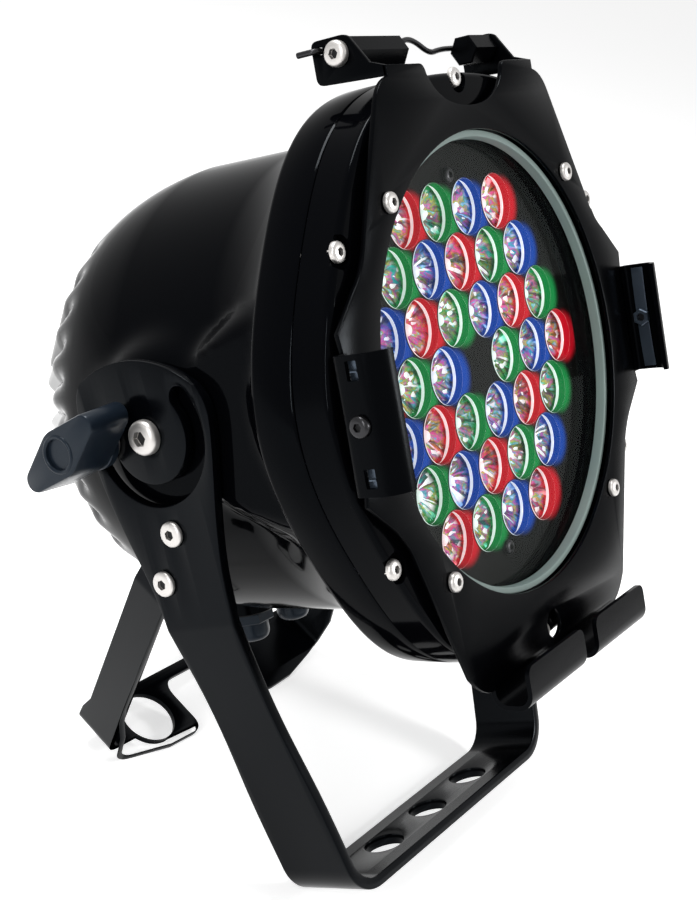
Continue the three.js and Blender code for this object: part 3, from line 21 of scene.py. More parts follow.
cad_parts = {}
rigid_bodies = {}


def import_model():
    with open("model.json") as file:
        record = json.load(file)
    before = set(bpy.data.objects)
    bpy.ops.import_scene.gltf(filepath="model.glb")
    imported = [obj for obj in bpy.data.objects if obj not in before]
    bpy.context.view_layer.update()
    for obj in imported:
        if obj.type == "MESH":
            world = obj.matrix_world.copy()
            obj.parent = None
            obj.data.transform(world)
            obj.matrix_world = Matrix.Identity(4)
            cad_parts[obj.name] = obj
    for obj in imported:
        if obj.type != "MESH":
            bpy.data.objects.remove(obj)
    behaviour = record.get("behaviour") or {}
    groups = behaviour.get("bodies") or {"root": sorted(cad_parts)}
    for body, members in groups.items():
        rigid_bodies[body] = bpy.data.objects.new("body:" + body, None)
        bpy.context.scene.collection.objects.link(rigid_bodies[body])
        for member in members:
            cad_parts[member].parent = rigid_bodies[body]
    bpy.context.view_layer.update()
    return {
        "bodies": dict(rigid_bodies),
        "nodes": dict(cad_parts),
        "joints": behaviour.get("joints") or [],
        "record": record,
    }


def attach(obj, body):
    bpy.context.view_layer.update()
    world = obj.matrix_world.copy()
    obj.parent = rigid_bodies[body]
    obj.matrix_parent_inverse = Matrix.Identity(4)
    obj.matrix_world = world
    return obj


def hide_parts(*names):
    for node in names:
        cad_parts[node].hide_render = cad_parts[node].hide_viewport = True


LOG = logging.getLogger("par_can")

Point = tuple[float, float]
Profile = Sequence[Point]
Colour = tuple[float, float, float]
Socket = bpy.types.NodeSocket

BEAM_FROM_ARM = math.radians(84.4)
BRACE_FROM_ARM = math.radians(51.5)
PIVOT_Z = -85.7
ARM_FACE_X = 113.3
SIDES = (("left", -1), ("right", 1))
MIRROR = Matrix.Scale(-1, 4, (1, 0, 0))
PLATE_SCREWS = ((-72, 72), (72, 72), (72, -72), (-72, -72))
BRACE_SCREWS = ((25, 30.6), (45.8, 38.7))


# Frames


@dataclass(frozen=True)
class Frames:
    """The three frames of the light as matrices from millimetres to the shared frame."""

    head: Matrix
    stand: Matrix
    brace: Matrix

    @staticmethod
    def at(pivot: Sequence[float]) -> Frames:
        """Works out the frames from the tilt axis and the sizes that the light stands on.

        Args:
            pivot: The tilt axis' place in metres.

        Returns:
            The frames.
        """
        reach, half, tongue, foot = 209.5, 17.5, 55.4, 176.0
        turn = BRACE_FROM_ARM
        rear_y = -tongue * math.cos(turn) + foot * math.sin(turn)
        rear_z = -tongue * math.sin(turn) - foot * math.cos(turn)
        pitch = -math.atan2(rear_z + reach, rear_y - half)
        base = Matrix.Translation(Vector(pivot)) @ Matrix.Scale(0.001, 4)
        stand = base @ Matrix.Rotation(pitch, 4, "X")
        brace = stand @ Matrix.Rotation(BRACE_FROM_ARM, 4, "X")
        head = stand @ Matrix.Rotation(math.pi - BEAM_FROM_ARM, 4, "X")
        return Frames(head @ Matrix.Translation((0, 0, -PIVOT_Z)), stand, brace)


# Shape helpers


def smooth(value: float, low: float, high: float) -> float:
    """A soft step from 0 at low to 1 at high."""
    share = min(max((value - low) / (high - low), 0.0), 1.0)
    return share * share * (3 - 2 * share)


def arc(centre: Point, radius: float, start: float, stop: float, steps: int) -> list[Point]:
    """Points along an arc.

    Args:
        centre: The arc's centre.
        radius: Its radius.
        start: First angle in degrees.
        stop: Last angle in degrees.
        steps: Number of chords.

    Returns:
        steps + 1 points.
    """
    angles = [math.radians(start + (stop - start) * i / steps) for i in range(steps + 1)]
    return [(centre[0] + radius * math.cos(a), centre[1] + radius * math.sin(a)) for a in angles]


def curve_points(start: Point, handles: Sequence[Point], stop: Point, steps: int) -> list[Point]:
    """Points along a quadratic or cubic curve, without its first point.

    Args:
        start: First point.
        handles: One handle for a quadratic curve, two for a cubic one.
        stop: Last point.
        steps: Number of chords.

    Returns:
        steps points.
    """
    knots = [Vector(p) for p in (start, *handles, stop)]
    points = []
    for i in range(1, steps + 1):
        layer = knots
        share = i / steps
        while len(layer) > 1:
            layer = [a.lerp(b, share) for a, b in zip(layer, layer[1:])]
        points.append((layer[0].x, layer[0].y))
    return points


def circle(x: float, y: float, radius: float, steps: int = 32) -> list[Point]:
    """A closed round outline."""
    return arc((x, y), radius, 0, 360, steps)[:-1]


def hull_of_circles(discs: Sequence[tuple[float, float]], steps: int = 12) -> list[Point]:
    """A closed outline round discs that lie along x, such as a wing with a thick middle.

    Args:
        discs: (place along x, radius) of each disc, from left to right, the middle one thickest.
        steps: Chords to each rounded end.

    Returns:
        The outline's points.
    """
    left, middle, right = discs
    lean_right = math.degrees(math.asin((middle[1] - right[1]) / (right[0] - middle[0])))
    lean_left = math.degrees(math.asin((middle[1] - left[1]) / (middle[0] - left[0])))
    outline = arc((right[0], 0), right[1], -90 + lean_right, 90 - lean_right, steps)
    outline += arc((middle[0], 0), middle[1], 90 - lean_right, 90 + lean_left, steps // 2)
    outline += arc((left[0], 0), left[1], 90 + lean_left, 270 - lean_left, steps)
    outline += arc((middle[0], 0), middle[1], 270 - lean_left, 270 + lean_right, steps // 2)
    return outline


def spun(profile: Profile, steps: int, closed: bool = False) -> bmesh.types.BMesh:
    """A body of revolution about z.

    Args:
        profile: [radius, z] points. An open profile starts and ends on the axis.
        steps: Number of meridians.
        closed: Whether the last point joins the first.

    Returns:
        The shape, with its faces outwards.
    """
    shape = bmesh.new()
    verts = [shape.verts.new((r, 0, z)) for r, z in profile]
    pairs = list(zip(verts, verts[1:])) + ([(verts[-1], verts[0])] if closed else [])
    edges = [shape.edges.new(pair) for pair in pairs]
    bmesh.ops.spin(
        shape,
        geom=verts + edges,
        cent=(0, 0, 0),
        axis=(0, 0, 1),
        dvec=(0, 0, 0),
        angle=2 * math.pi,
        steps=steps,
        use_merge=True,
        use_duplicate=False,
    )
    bmesh.ops.remove_doubles(shape, verts=shape.verts, dist=0.001)
    bmesh.ops.recalc_face_normals(shape, faces=shape.faces)
    return shape


def shape_of(curve: bpy.types.Curve) -> bmesh.types.BMesh:
    """The shape of a filled or thickened curve.

    Args:
        curve: The curve, which is removed.

    Returns:
        The shape.
    """
    holder = bpy.data.objects.new("curve", curve)
    mesh = bpy.data.meshes.new_from_object(holder)
    shape = bmesh.new()
    shape.from_mesh(mesh)
    bpy.data.objects.remove(holder)
    bpy.data.curves.remove(curve)
    bpy.data.meshes.remove(mesh)
    return shape


def flat(outline: Profile, holes: Iterable[Profile], depth: float, edge: float) -> bmesh.types.BMesh:
    """A flat plate with holes and softly rounded edges, from z = 0 to z = depth.

    Args:
        outline: Its outer edge in x and y.
        holes: The edges of its holes.
        depth: Its thickness.
        edge: The radius of its edges.

    Returns:
        The shape.
    """
    curve = bpy.data.curves.new("plate", "CURVE")
    curve.dimensions = "2D"
    curve.fill_mode = "BOTH"
    curve.extrude = depth / 2 - edge
    curve.bevel_depth = edge
    curve.bevel_resolution = 1
    curve.offset = -edge
    for loop in (outline, *holes):
        spline = curve.splines.new("POLY")
        spline.points.add(len(loop) - 1)
        for point, (x, y) in zip(spline.points, loop):
            point.co = (x, y, 0, 1)
        spline.use_cyclic_u = True
    shape = shape_of(curve)
    bmesh.ops.remove_doubles(shape, verts=shape.verts, dist=0.002)
    bmesh.ops.translate(shape, verts=shape.verts, vec=(0, 0, depth / 2))
    bmesh.ops.recalc_face_normals(shape, faces=shape.faces)
    return shape


def ribbon(line: Profile, width: float, thickness: float) -> bmesh.types.BMesh:
    """A bent sheet: a line in x and z, drawn out along y and thickened to its left.

    Args:
        line: The points of the bend line.
        width: Its width along y, centred.
        thickness: The sheet's thickness.

    Returns:
        The shape.
    """
    shape = bmesh.new()
    verts = [shape.verts.new((x, -width / 2, z)) for x, z in line]
    edges = [shape.edges.new(pair) for pair in zip(verts, verts[1:])]
    grown = bmesh.ops.extrude_edge_only(shape, edges=edges)["geom"]
    moved = [item for item in grown if isinstance(item, bmesh.types.BMVert)]
    bmesh.ops.translate(shape, verts=moved, vec=(0, width, 0))
    first = next(face for face in shape.faces if verts[0] in face.verts and verts[1] in face.verts)
    into = Vector((line[1][0] - line[0][0], 0, line[1][1] - line[0][1])).cross(Vector((0, 1, 0)))
    bmesh.ops.recalc_face_normals(shape, faces=shape.faces)
    first.normal_update()
    if first.normal.dot(into) > 0:
        bmesh.ops.reverse_faces(shape, faces=shape.faces)
    bmesh.ops.solidify(shape, geom=shape.faces[:], thickness=thickness)
    bmesh.ops.recalc_face_normals(shape, faces=shape.faces)
    return shape


def moved(shape: bmesh.types.BMesh, matrix: Matrix) -> bmesh.types.BMesh:
    """The same shape in another place.

    Args:
        shape: The shape, changed in place.
        matrix: The move.

    Returns:
        The same shape.
    """
    bmesh.ops.transform(shape, matrix=matrix, verts=shape.verts)
    if matrix.determinant() < 0:
        bmesh.ops.reverse_faces(shape, faces=shape.faces)
    return shape


def merged(shapes: Iterable[bmesh.types.BMesh]) -> bmesh.types.BMesh:
    """Several shapes in one, which frees them.

    Args:
        shapes: The shapes, which are freed.

    Returns:
        One shape.
    """
    whole = bmesh.new()
    for shape in shapes:
        mesh = bpy.data.meshes.new("part")
        shape.to_mesh(mesh)
        shape.free()
        whole.from_mesh(mesh)
        bpy.data.meshes.remove(mesh)
    return whole


def carved(shape: bmesh.types.BMesh, tools: bmesh.types.BMesh) -> bmesh.types.BMesh:
    """The shape with the tools' space cut away; both are freed.

    Args:
        shape: The shape to cut.
        tools: What is cut away.

    Returns:
        The cut shape.
    """
    objects = []
    for source in (shape, tools):
        mesh = bpy.data.meshes.new("cut")
        source.to_mesh(mesh)
        source.free()
        holder = bpy.data.objects.new("cut", mesh)
        bpy.context.scene.collection.objects.link(holder)
        objects.append(holder)
    blank, tool = objects
    cut = blank.modifiers.new("cut", "BOOLEAN")
    cut.operation = "DIFFERENCE"
    cut.solver = "EXACT"
    cut.object = tool
    graph = bpy.context.evaluated_depsgraph_get()
    mesh = bpy.data.meshes.new_from_object(blank.evaluated_get(graph))
    result = bmesh.new()
    result.from_mesh(mesh)
    bpy.data.meshes.remove(mesh)
    for holder in objects:
        data = holder.data
        bpy.data.objects.remove(holder)
        bpy.data.meshes.remove(data)
    return result


def sliced(shape: bmesh.types.BMesh, stations: Iterable[float]) -> None:
    """Adds edges across a shape.

    Args:
        shape: The shape, changed in place.
        stations: The values of x where it gets them.
    """
    for station in stations:
        bmesh.ops.bisect_plane(
            shape,
            geom=shape.verts[:] + shape.edges[:] + shape.faces[:],
            dist=0.0001,
            plane_co=(station, 0, 0),
            plane_no=(1, 0, 0),
        )


def along_x(sign: int) -> Matrix:
    """Turns a form's own z outwards along x on that side."""
    return Matrix.Rotation(sign * math.pi / 2, 4, "Y")


def place(x: float, y: float, z: float) -> Matrix:
    """A move by x, y, z."""
    return Matrix.Translation((x, y, z))


def on_both_sides(x: float, y: float, z: float) -> list[Matrix]:
    """Places on the left and the right, both facing outwards."""
    return [place(sign * x, y, z) @ along_x(sign) for _, sign in SIDES]


def upright_at(x: float) -> Matrix:
    """Stands a flat form up across the light at x, so that its x, y and z become y, z and x."""
    return Matrix(((0, 0, 1, x), (1, 0, 0, 0), (0, 1, 0, 0), (0, 0, 0, 1)))


def brace_places() -> list[Point]:
    """Where the screws join the arms.

    Returns:
        (place across, height) of each in the front stand's frame.
    """
    turn = BRACE_FROM_ARM
    found = []
    for down, across in BRACE_SCREWS:
        y = -across * math.cos(turn) + down * math.sin(turn)
        found.append((y, -across * math.sin(turn) - down * math.cos(turn)))
    return found


# Finishes


class Graph:
    """The nodes of one material or world, with short ways to add to them."""

    def __init__(self, tree: bpy.types.NodeTree) -> None:
        """Takes up a node tree."""
        self.tree = tree

    @staticmethod
    def fresh(name: str) -> tuple[bpy.types.Material, Graph]:
        """Starts a material.

        Args:
            name: Its name.

        Returns:
            The material and its graph.
        """
        material = bpy.data.materials.new(name)
        material.use_nodes = True
        return material, Graph(material.node_tree)

    def feed(self, node: bpy.types.Node, values: dict[str | int, object]) -> None:
        """Feeds a node's inputs.

        Args:
            node: The node.
            values: A plain value, or the socket to follow, for each input by name or number.
        """
        for name, value in values.items():
            if isinstance(value, Socket):
                self.tree.links.new(value, node.inputs[name])
            else:
                node.inputs[name].default_value = value

    def add(self, kind: str, values: dict[str | int, object], **settings: object) -> bpy.types.Node:
        """Adds a node.

        Args:
            kind: Its type, without the leading ShaderNode.
            values: What feed takes.
            settings: The node's own settings.

        Returns:
            The node.
        """
        node = self.tree.nodes.new(f"ShaderNode{kind}")
        for name, value in settings.items():
            setattr(node, name, value)
        self.feed(node, values)
        return node

    def surface(self, values: dict[str | int, object]) -> None:
        """Feeds the surface shader."""
        self.feed(self.tree.nodes["Principled BSDF"], values)

    def mix(self, factor: Socket | float, low: object, high: object, kind: str = "MIX") -> Socket:
        """Mixes two colours."""
        values = {"Factor": factor, "A": low, "B": high}
        return self.add("Mix", values, data_type="RGBA", blend_type=kind).outputs["Result"]

    def maths(self, operation: str, first: Socket, second: Socket | float) -> Socket:
        """Works out one number from two."""
        return self.add("Math", {0: first, 1: second}, operation=operation).outputs[0]

    def ramp(self, source: Socket, stops: Sequence[tuple[float, Colour | float]]) -> Socket:
        """Colours along a value.

        Args:
            source: The value.
            stops: (value, colour or grey) pairs, rising.

        Returns:
            The colour.
        """
        band = self.add("ValToRGB", {"Fac": source})
        steps = band.color_ramp.elements
        steps.remove(steps[1])
        for i, (spot, tone) in enumerate(stops):
            step = steps.new(spot) if i else steps[0]
            step.position = spot
            step.color = (*tone, 1) if isinstance(tone, tuple) else (tone, tone, tone, 1)
        return band.outputs["Color"]

    def looks(self) -> Socket:
        """Tells the rays that look from those that light.

        Returns:
            1 for rays that look at a surface, mirror it or pass through glass, and 0 for its light.
        """
        rays = self.add("LightPath", {}).outputs
        seen = self.maths("MAXIMUM", rays["Is Camera Ray"], rays["Is Glossy Ray"])
        return self.maths("MAXIMUM", seen, rays["Is Transmission Ray"])


@dataclass(frozen=True)
class Finish:
    """A surface finish: the shader's plain values and the fine detail that varies them.

    Attributes:
        name: Material name.
        colour: Base colour, linear.
        roughness: Mean roughness.
        metallic: 1 for bare metal.
        grain: Cells of the fine bump to a metre.
        bump: Depth of the fine bump in metres.
        uneven: How far the roughness strays from its mean.
        tint: Second colour that large soft patches lean to.
        ior: Index of refraction.
        stretch: Scale of the grain along x, y and z.
        glow: Strength of the light that the surface seems to hold.
        alpha: How much of what lies behind the surface it hides.
        mirror: Tint of what the surface mirrors.
    """

    name: str
    colour: Colour
    roughness: float
    metallic: float = 0.0
    grain: float = 900.0
    bump: float = 0.00001
    uneven: float = 0.05
    tint: Colour | None = None
    ior: float = 1.5
    stretch: tuple[float, float, float] = (1.0, 1.0, 1.0)
    glow: float = 0.0
    alpha: float = 1.0
    mirror: Colour = (1.0, 1.0, 1.0)

    def material(self) -> bpy.types.Material:
        """Builds the material, or returns it if it is built.

        Returns:
            The node-based material.
        """
        known = bpy.data.materials.get(self.name)
        if known:
            return known
        material, graph = Graph.fresh(self.name)
        where = graph.add("TexCoord", {}).outputs["Object"]
        stretched = graph.add("Mapping", {"Vector": where, "Scale": self.stretch}).outputs["Vector"]
        fine = graph.add("TexNoise", {"Vector": stretched, "Scale": self.grain, "Detail": 3}).outputs["Fac"]
        bump = graph.add("Bump", {"Strength": 1.0, "Distance": self.bump, "Height": fine})
        patches = graph.add("TexNoise", {"Vector": where, "Scale": 28, "Detail": 4}).outputs["Fac"]
        least, most = max(self.roughness - self.uneven, 0.02), self.roughness + self.uneven
        spread = graph.add(
            "MapRange", {"Value": patches, "From Min": 0.3, "From Max": 0.7, "To Min": least, "To Max": most}
        )
        base = (*self.colour, 1)
        if self.tint:
            base = graph.mix(patches, base, (*self.tint, 1))
        graph.surface(
            {
                "Base Color": base,
                "Metallic": self.metallic,
                "Roughness": spread.outputs["Result"],
                "IOR": self.ior,
                "Alpha": self.alpha,
                "Specular Tint": (*self.mirror, 1),
                "Normal": bump.outputs["Normal"],
            }
        )
        if self.glow:
            graph.surface({"Emission Color": (*self.colour, 1), "Emission Strength": self.glow})
        return material


class Lamp(Enum):
    """The three colours of lamp: the lamp's colour, painted as glowing light on its holders and the carrier, and the
    colour of the painted highlight on its lenses and rims.
    """

    RED = ((0.42, 0.003, 0.012), (1.0, 0.3, 0.36))
    GREEN = ((0.0, 0.17, 0.035), (0.2, 0.85, 0.6))
    BLUE = ((0.001, 0.04, 0.27), (0.3, 0.55, 1.0))


# A cool tint painted onto the reflections of the black paints and the knob, standing in for a bluish surround.
COOL_REFLECTION_TINT = (0.8, 0.9, 1.0)
GLOSS = Finish("gloss_black_paint", (0.001, 0.0011, 0.0016), 0.08, bump=0.000004, uneven=0.03, ior=1.1, mirror=COOL_REFLECTION_TINT)
SATIN = Finish("satin_black_powder", (0.001, 0.0011, 0.0015), 0.22, grain=1600, bump=0.00003, ior=1.11, mirror=COOL_REFLECTION_TINT)
STAND = Finish("stand_black_powder", (0.001, 0.0012, 0.0018), 0.2, grain=1500, bump=0.00001, ior=1.17, mirror=COOL_REFLECTION_TINT)
STEEL = Finish("bright_steel", (0.48, 0.455, 0.44), 0.17, metallic=1.0, grain=700, bump=0.000006, uneven=0.07)
OXIDE = Finish("black_oxide", (0.03, 0.03, 0.032), 0.32, metallic=0.9, grain=900)
SOCKET = Finish("socket_shade", (0.02, 0.02, 0.021), 0.5, grain=900, ior=1.2)
PLASTIC = Finish(
    "knob_plastic", (0.006, 0.01, 0.016), 0.3, grain=1300, bump=0.00002, tint=(0.009, 0.014, 0.022), ior=1.28,
    mirror=COOL_REFLECTION_TINT
)
LEAF = Finish("mottled_leaf", (0.012, 0.018, 0.028), 0.3, metallic=0.7, grain=420, bump=0.00005, tint=(0.1, 0.13, 0.17))
FIBRE = Finish("fibre_washer", (0.04, 0.035, 0.03), 0.75, grain=800, bump=0.00004)
RUBBER = Finish("pale_gasket", (0.21, 0.28, 0.26), 0.5, grain=500, bump=0.00003, tint=(0.16, 0.22, 0.205))
BOARD = Finish("lamp_carrier", (0.0012, 0.0013, 0.0013), 0.5, grain=600, tint=(0.003, 0.0025, 0.002), ior=1.12)
ALUMINIUM = Finish("bare_aluminium", (0.5, 0.51, 0.52), 0.35, metallic=1.0, stretch=(1, 1, 8))
GLASS = Finish("clear_front_glass", (0.8, 0.88, 0.85), 0.04, metallic=0.9, bump=0.0, uneven=0.02, alpha=0.015)
CASE = Finish("folded_case", (0.42, 0.43, 0.44), 0.38, metallic=1.0, stretch=(8, 1, 1))


HUES = (
    (0.34, (0.03, 0.42, 0.48)),
    (0.41, (0.28, 0.20, 0.46)),
    (0.46, (0.75, 0.09, 0.34)),
    (0.5, (0.24, 0.25, 0.25)),
    (0.54, (0.62, 0.42, 0.10)),
    (0.58, (0.14, 0.42, 0.12)),
    (0.62, (0.20, 0.55, 0.75)),
    (0.68, (0.85, 0.80, 0.82)),
)


class LensLook:
    """The painted look of one lamp colour's clear cups: a deep tinted ground, soft rainbow hues and darker folds for
    what the lens shows, pale glints and bars as painted highlights, and a painted glow.

    It reads the lens's own UV map: u round the lens, v outwards.
    """

    lamp_shift: float = 55
    shards_to_metre: float = 520

    def __init__(self, lamp: Lamp) -> None:
        """Starts the material.

        Args:
            lamp: The colour of lamp.
        """
        self.ground, self.painted_gleam = lamp.value
        self.done, self.graph = Graph.fresh(f"lens_{lamp.name.lower()}")
        where = self.graph.add("TexCoord", {})
        self.map, self.spot = where.outputs["UV"], where.outputs["Object"]
        values = {0: self.spot, "Scale": self.lamp_shift}
        self.lamps_apart = self.graph.add("VectorMath", values, operation="SCALE").outputs["Vector"]

    def noise(self, scale: Point, detail: float) -> Socket:
        """Noise over the lens's map, different in each lamp.

        Args:
            scale: Its cells round the lens and outwards.
            detail: Its detail.

        Returns:
            The noise.
        """
        turned = self.graph.add("Mapping", {"Vector": self.map, "Scale": (*scale, 1)}).outputs["Vector"]
        shift = self.graph.add("VectorMath", {0: turned, 1: self.lamps_apart}, operation="ADD").outputs["Vector"]
        values = {"Vector": shift, "Scale": 1.0, "Detail": detail, "Distortion": 0.5}
        return self.graph.add("TexNoise", values).outputs["Fac"]

    def material(self) -> bpy.types.Material:
        """Finishes the material.

        Returns:
            The material.
        """
        graph, noise, ramp = self.graph, self.noise, self.graph.ramp
        outwards = graph.add("SeparateXYZ", {"Vector": self.map}).outputs["Y"]
        # The clear lens has no colour of its own: its ground, the highlight on its facets and its hues are painted.
        deep = tuple(0.25 * c for c in self.ground)
        facets = ramp(noise((15, 1.3), 3), [(0.4, deep), (0.48, self.ground), (0.6, self.ground), (0.7, self.painted_gleam)])
        inner = ramp(outwards, [(0.4, 0.95), (0.8, 0.55), (0.93, 0)])
        patchy = ramp(noise((6, 1.2), 2), [(0.4, 0.35), (0.52, 1)])
        tinted = graph.mix(graph.maths("MULTIPLY", inner, patchy), facets, ramp(noise((12, 3.0), 3), HUES))
        dark = ramp(noise((18, 1.6), 3), [(0.38, 0.3), (0.46, 0.8), (0.55, 1)])
        folded = graph.mix(1.0, tinted, dark, "MULTIPLY")
        shards = graph.add("TexVoronoi", {"Vector": self.spot, "Scale": self.shards_to_metre}).outputs
        parts = graph.add("SeparateColor", {"Color": shards["Color"]}).outputs
        # Glints and bars are painted highlights, standing in for the lights mirrored in the lens.
        glints = ramp(parts["Red"], [(0.88, 0), (0.93, 1)])
        bars = ramp(noise((13, 0.8), 1), [(0.67, 0), (0.7, 1)])
        spread = ramp(outwards, [(0.3, 1), (0.75, 0.7), (0.92, 0)])
        painted_highlights = graph.maths("MULTIPLY", graph.maths("MAXIMUM", glints, bars), spread)
        final = graph.mix(painted_highlights, folded, (0.95, 0.97, 1.0, 1))
        bump = graph.add("Bump", {"Distance": 0.001, "Height": shards["Distance"]}).outputs["Normal"]
        # The emission is a painted glow: the lens shines with its own colour.
        graph.surface({"Base Color": final, "Emission Color": final, "Emission Strength": 0.75})
        graph.surface({"Roughness": 0.12, "IOR": 1.2, "Normal": bump})
        return self.done


def carrier_with_painted_light() -> bpy.types.Material:
    """The carrier's finish with the lamps' light painted on it and glowing, read from its own attribute.

    Returns:
        The material.
    """
    material = BOARD.material().copy()
    material.name = "carrier_with_painted_light"
    graph = Graph(material.node_tree)
    shader = graph.tree.nodes["Principled BSDF"]
    plain = shader.inputs["Base Color"].links[0].from_socket
    # The lamps' light, painted on as colour and as glow.
    light = graph.add("Attribute", {}, attribute_name="painted_lamp_light").outputs["Color"]
    both = graph.mix(1.0, plain, light, "ADD")
    graph.surface({"Base Color": both, "Emission Color": light, "Emission Strength": 0.6})
    for link in list(shader.inputs["Normal"].links):
        graph.tree.links.remove(link)
    return material


# Pieces


@dataclass
class Workshop:
    """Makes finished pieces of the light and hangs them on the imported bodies.

    Attributes:
        frames: The light's frames.
        made: Names of the pieces made so far.
    """

    frames: Frames
    made: list[str] = field(default_factory=list)

    def piece(
        self,
        name: str,
        shape: bmesh.types.BMesh,
        where: Matrix,
        material: bpy.types.Material,
        body: str,
        nodes: Sequence[str] = (),
        crease: float = 38.0,
        bevel: float = 0.0,
    ) -> None:
        """Turns a shape into a piece.

        Args:
            name: The piece's name.
            shape: Its shape in millimetres, which is freed.
            where: The frame that it is drawn in.
            material: Its material.
            body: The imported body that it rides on.
            nodes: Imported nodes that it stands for.
            crease: Angle in degrees past which an edge stays sharp.
            bevel: Width in millimetres of a bevel on such edges.
        """
        mesh = bpy.data.meshes.new(name)
        shape.to_mesh(mesh)
        shape.free()
        mesh.transform(where)
        mesh.materials.append(material)
        for polygon in mesh.polygons:
            polygon.use_smooth = True
        mesh.set_sharp_from_angle(angle=math.radians(crease))
        thing = bpy.data.objects.new(name, mesh)
        bpy.context.scene.collection.objects.link(thing)
        if bevel:
            edge = thing.modifiers.new("edge", "BEVEL")
            edge.width = bevel * 0.001
            edge.segments = 2
            edge.limit_method = "ANGLE"
            edge.angle_limit = math.radians(crease)
        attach(thing, body)
        if nodes:
            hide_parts(*nodes)
        self.made.append(name)
        LOG.info("%s rides on %s", name, body)

    def dress(self, nodes: dict[str, bpy.types.Object], names: Iterable[str], finish: Finish) -> None:
        """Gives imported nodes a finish.

        Args:
            nodes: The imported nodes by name.
            names: Those to dress.
            finish: Their finish.
        """
        for name in names:
            slots = nodes[name].material_slots
            if slots:
                for entry in slots:
                    entry.material = finish.material()
            else:
                nodes[name].data.materials.append(finish.material())
            LOG.info("%s is dressed in %s", name, finish.name)


@dataclass
class CastBody:
    """The cast body with its ribbed dome, pivot pads and six-cornered flange, and the bezel on it."""

    body_r: float = 102.0
    wall: float = 3.0
    ribs: int = 36
    rib_depth: float = 5.2
    rim_side: float = 119.3
    rim_corner: float = 123.8
    swell: float = -0.2
    dome_z: float = -112.0
    neck_z: float = -58.0
    rear_z: float = -206.0
    rear_flat_r: float = 44.0
    fillet_passes: int = 10
    seam_z: float = -4.5
    flange_z: float = -23.0
    pad_x: float = 106.4
    boss_r: float = 31.0
    bezel_front: float = 11.6
    screw_ring: float = 116.5
    pocket_r: float = 6.2
    pocket_floor: float = 9.0

    def rim(self, r: float, turn: float) -> float:
        """Radius of the rim's rounded hexagon at a turn in radians."""
        corner = (1 + math.cos(6 * turn)) / 2
        return r + (self.rim_corner - self.rim_side) * corner * smooth(r, 109.0, self.rim_side - 0.9)

    def outer(self) -> list[Point]:
        """The body's outer line, from the rear centre to the seam.

        Returns:
            Its [radius, z] points.
        """
        corner = (self.rear_flat_r, self.rear_z)
        line: list[Point] = [(0, self.rear_z), (30, self.rear_z), corner]
        line += curve_points(corner, [(52, -203.5)], (57, -198), 4)
        line += [(57 + 29 * i / 8, -198 + 34.5 * i / 8) for i in range(1, 9)]
        line += curve_points((86, -163.5), [(94, -151.5), (100, -133)], (self.body_r, self.dome_z), 10)
        barrel = self.neck_z - self.dome_z
        line += [(self.body_r, self.dome_z + barrel * i / 26) for i in range(1, 27)]
        line += curve_points((self.body_r, self.neck_z), [(103, -46)], (109, -33), 8)
        line += curve_points((109, -33), [(112.5, -24)], (self.rim_side - 0.9, self.flange_z), 5)
        line += [(self.rim_side - 0.2, self.flange_z + 0.7), (self.rim_side, self.flange_z + 2)]
        line += [(self.rim_side, self.seam_z - 1), (self.rim_side - 0.6, self.seam_z)]
        return line

    def inner(self) -> list[Point]:
        """The body's inner line, from the seam to the rear centre.

        Returns:
            Its [radius, z] points.
        """
        bore = self.body_r - self.wall
        return [(97.7, self.seam_z), (97.7, -22.3), (92.5, -22.3), (92.5, -26.8), (bore, -26.8), (bore, self.dome_z),
                (79, -160.5), (50, -195), (37, -200), (0, -200)]

    def pad_edge(self, z: float, y: float) -> float:
        """Distance of a place from the pad's edge, positive inside.

        Args:
            z: Place along the beam from the pivot.
            y: Height above the pivot.

        Returns:
            The distance in millimetres.
        """
        r = math.hypot(z, y)
        if r < 1:
            return self.boss_r
        forward, side = z / r, y / r
        edge = 38.0 if side > 0 else 40.0
        straight = min(edge / max(abs(side), 0.01), 70 / max(forward, 0.01))
        reach = self.boss_r + (max(straight, self.boss_r) - self.boss_r) * smooth(forward, 0.56, 0.76)
        return reach - r

    def shape_shell(self, shape: bmesh.types.BMesh) -> None:
        """Draws in the valleys between the ribs, grows the rim's corners and raises the pads.

        Args:
            shape: The spun body, changed in place.
        """
        fillet = []
        for vert in shape.verts:
            x, y, z = vert.co
            r = math.hypot(x, y)
            if r < 1:
                continue
            inside = r < self.body_r - 2.5 and z > self.dome_z or r < 98.5 and z > -30
            inside = inside or z > -200.5 and r < self.rear_flat_r
            inside = inside or -160.6 < z and r < 79.5 or self.is_inner(r, z)
            if inside:
                continue
            turn = math.atan2(y, x)
            target = self.rim(r, turn)
            crest = (0.5 + 0.5 * math.cos(self.ribs * turn)) ** 0.5
            share = (1 - smooth(z, -160, -147)) * smooth(r, 43, 52)
            target -= self.rib_depth * (1 - crest) * share
            target += self.swell * (1 - smooth(z, -158, -128)) * smooth(r, 40, 56)
            x, y = x * target / r, y * target / r
            depth = self.pad_edge(z - PIVOT_Z, y)
            share = smooth(depth, -9, 0.5)
            if share > 0 and abs(x) < self.pad_x and z < self.flange_z - 0.5:
                x = math.copysign(abs(x) + (self.pad_x - abs(x)) * share, x)
            vert.co = (x, y, z)
            if -15 < depth < 7 and z < self.flange_z - 6:
                fillet.append(vert)
        axes = {"use_axis_x": True, "use_axis_y": True, "use_axis_z": True}
        for _ in range(self.fillet_passes):
            bmesh.ops.smooth_vert(shape, verts=fillet, factor=0.5, **axes)

    def is_inner(self, r: float, z: float) -> bool:
        """Whether a ring belongs to the inner line."""
        return any(math.hypot(r - a, z - b) < 0.05 for a, b in self.inner()[:-1])

    def screw_places(self) -> list[Point]:
        """Places of the six bezel screws."""
        return [arc((0, 0), self.screw_ring, 30 + 60 * k, 30 + 60 * k, 1)[0] for k in range(6)]

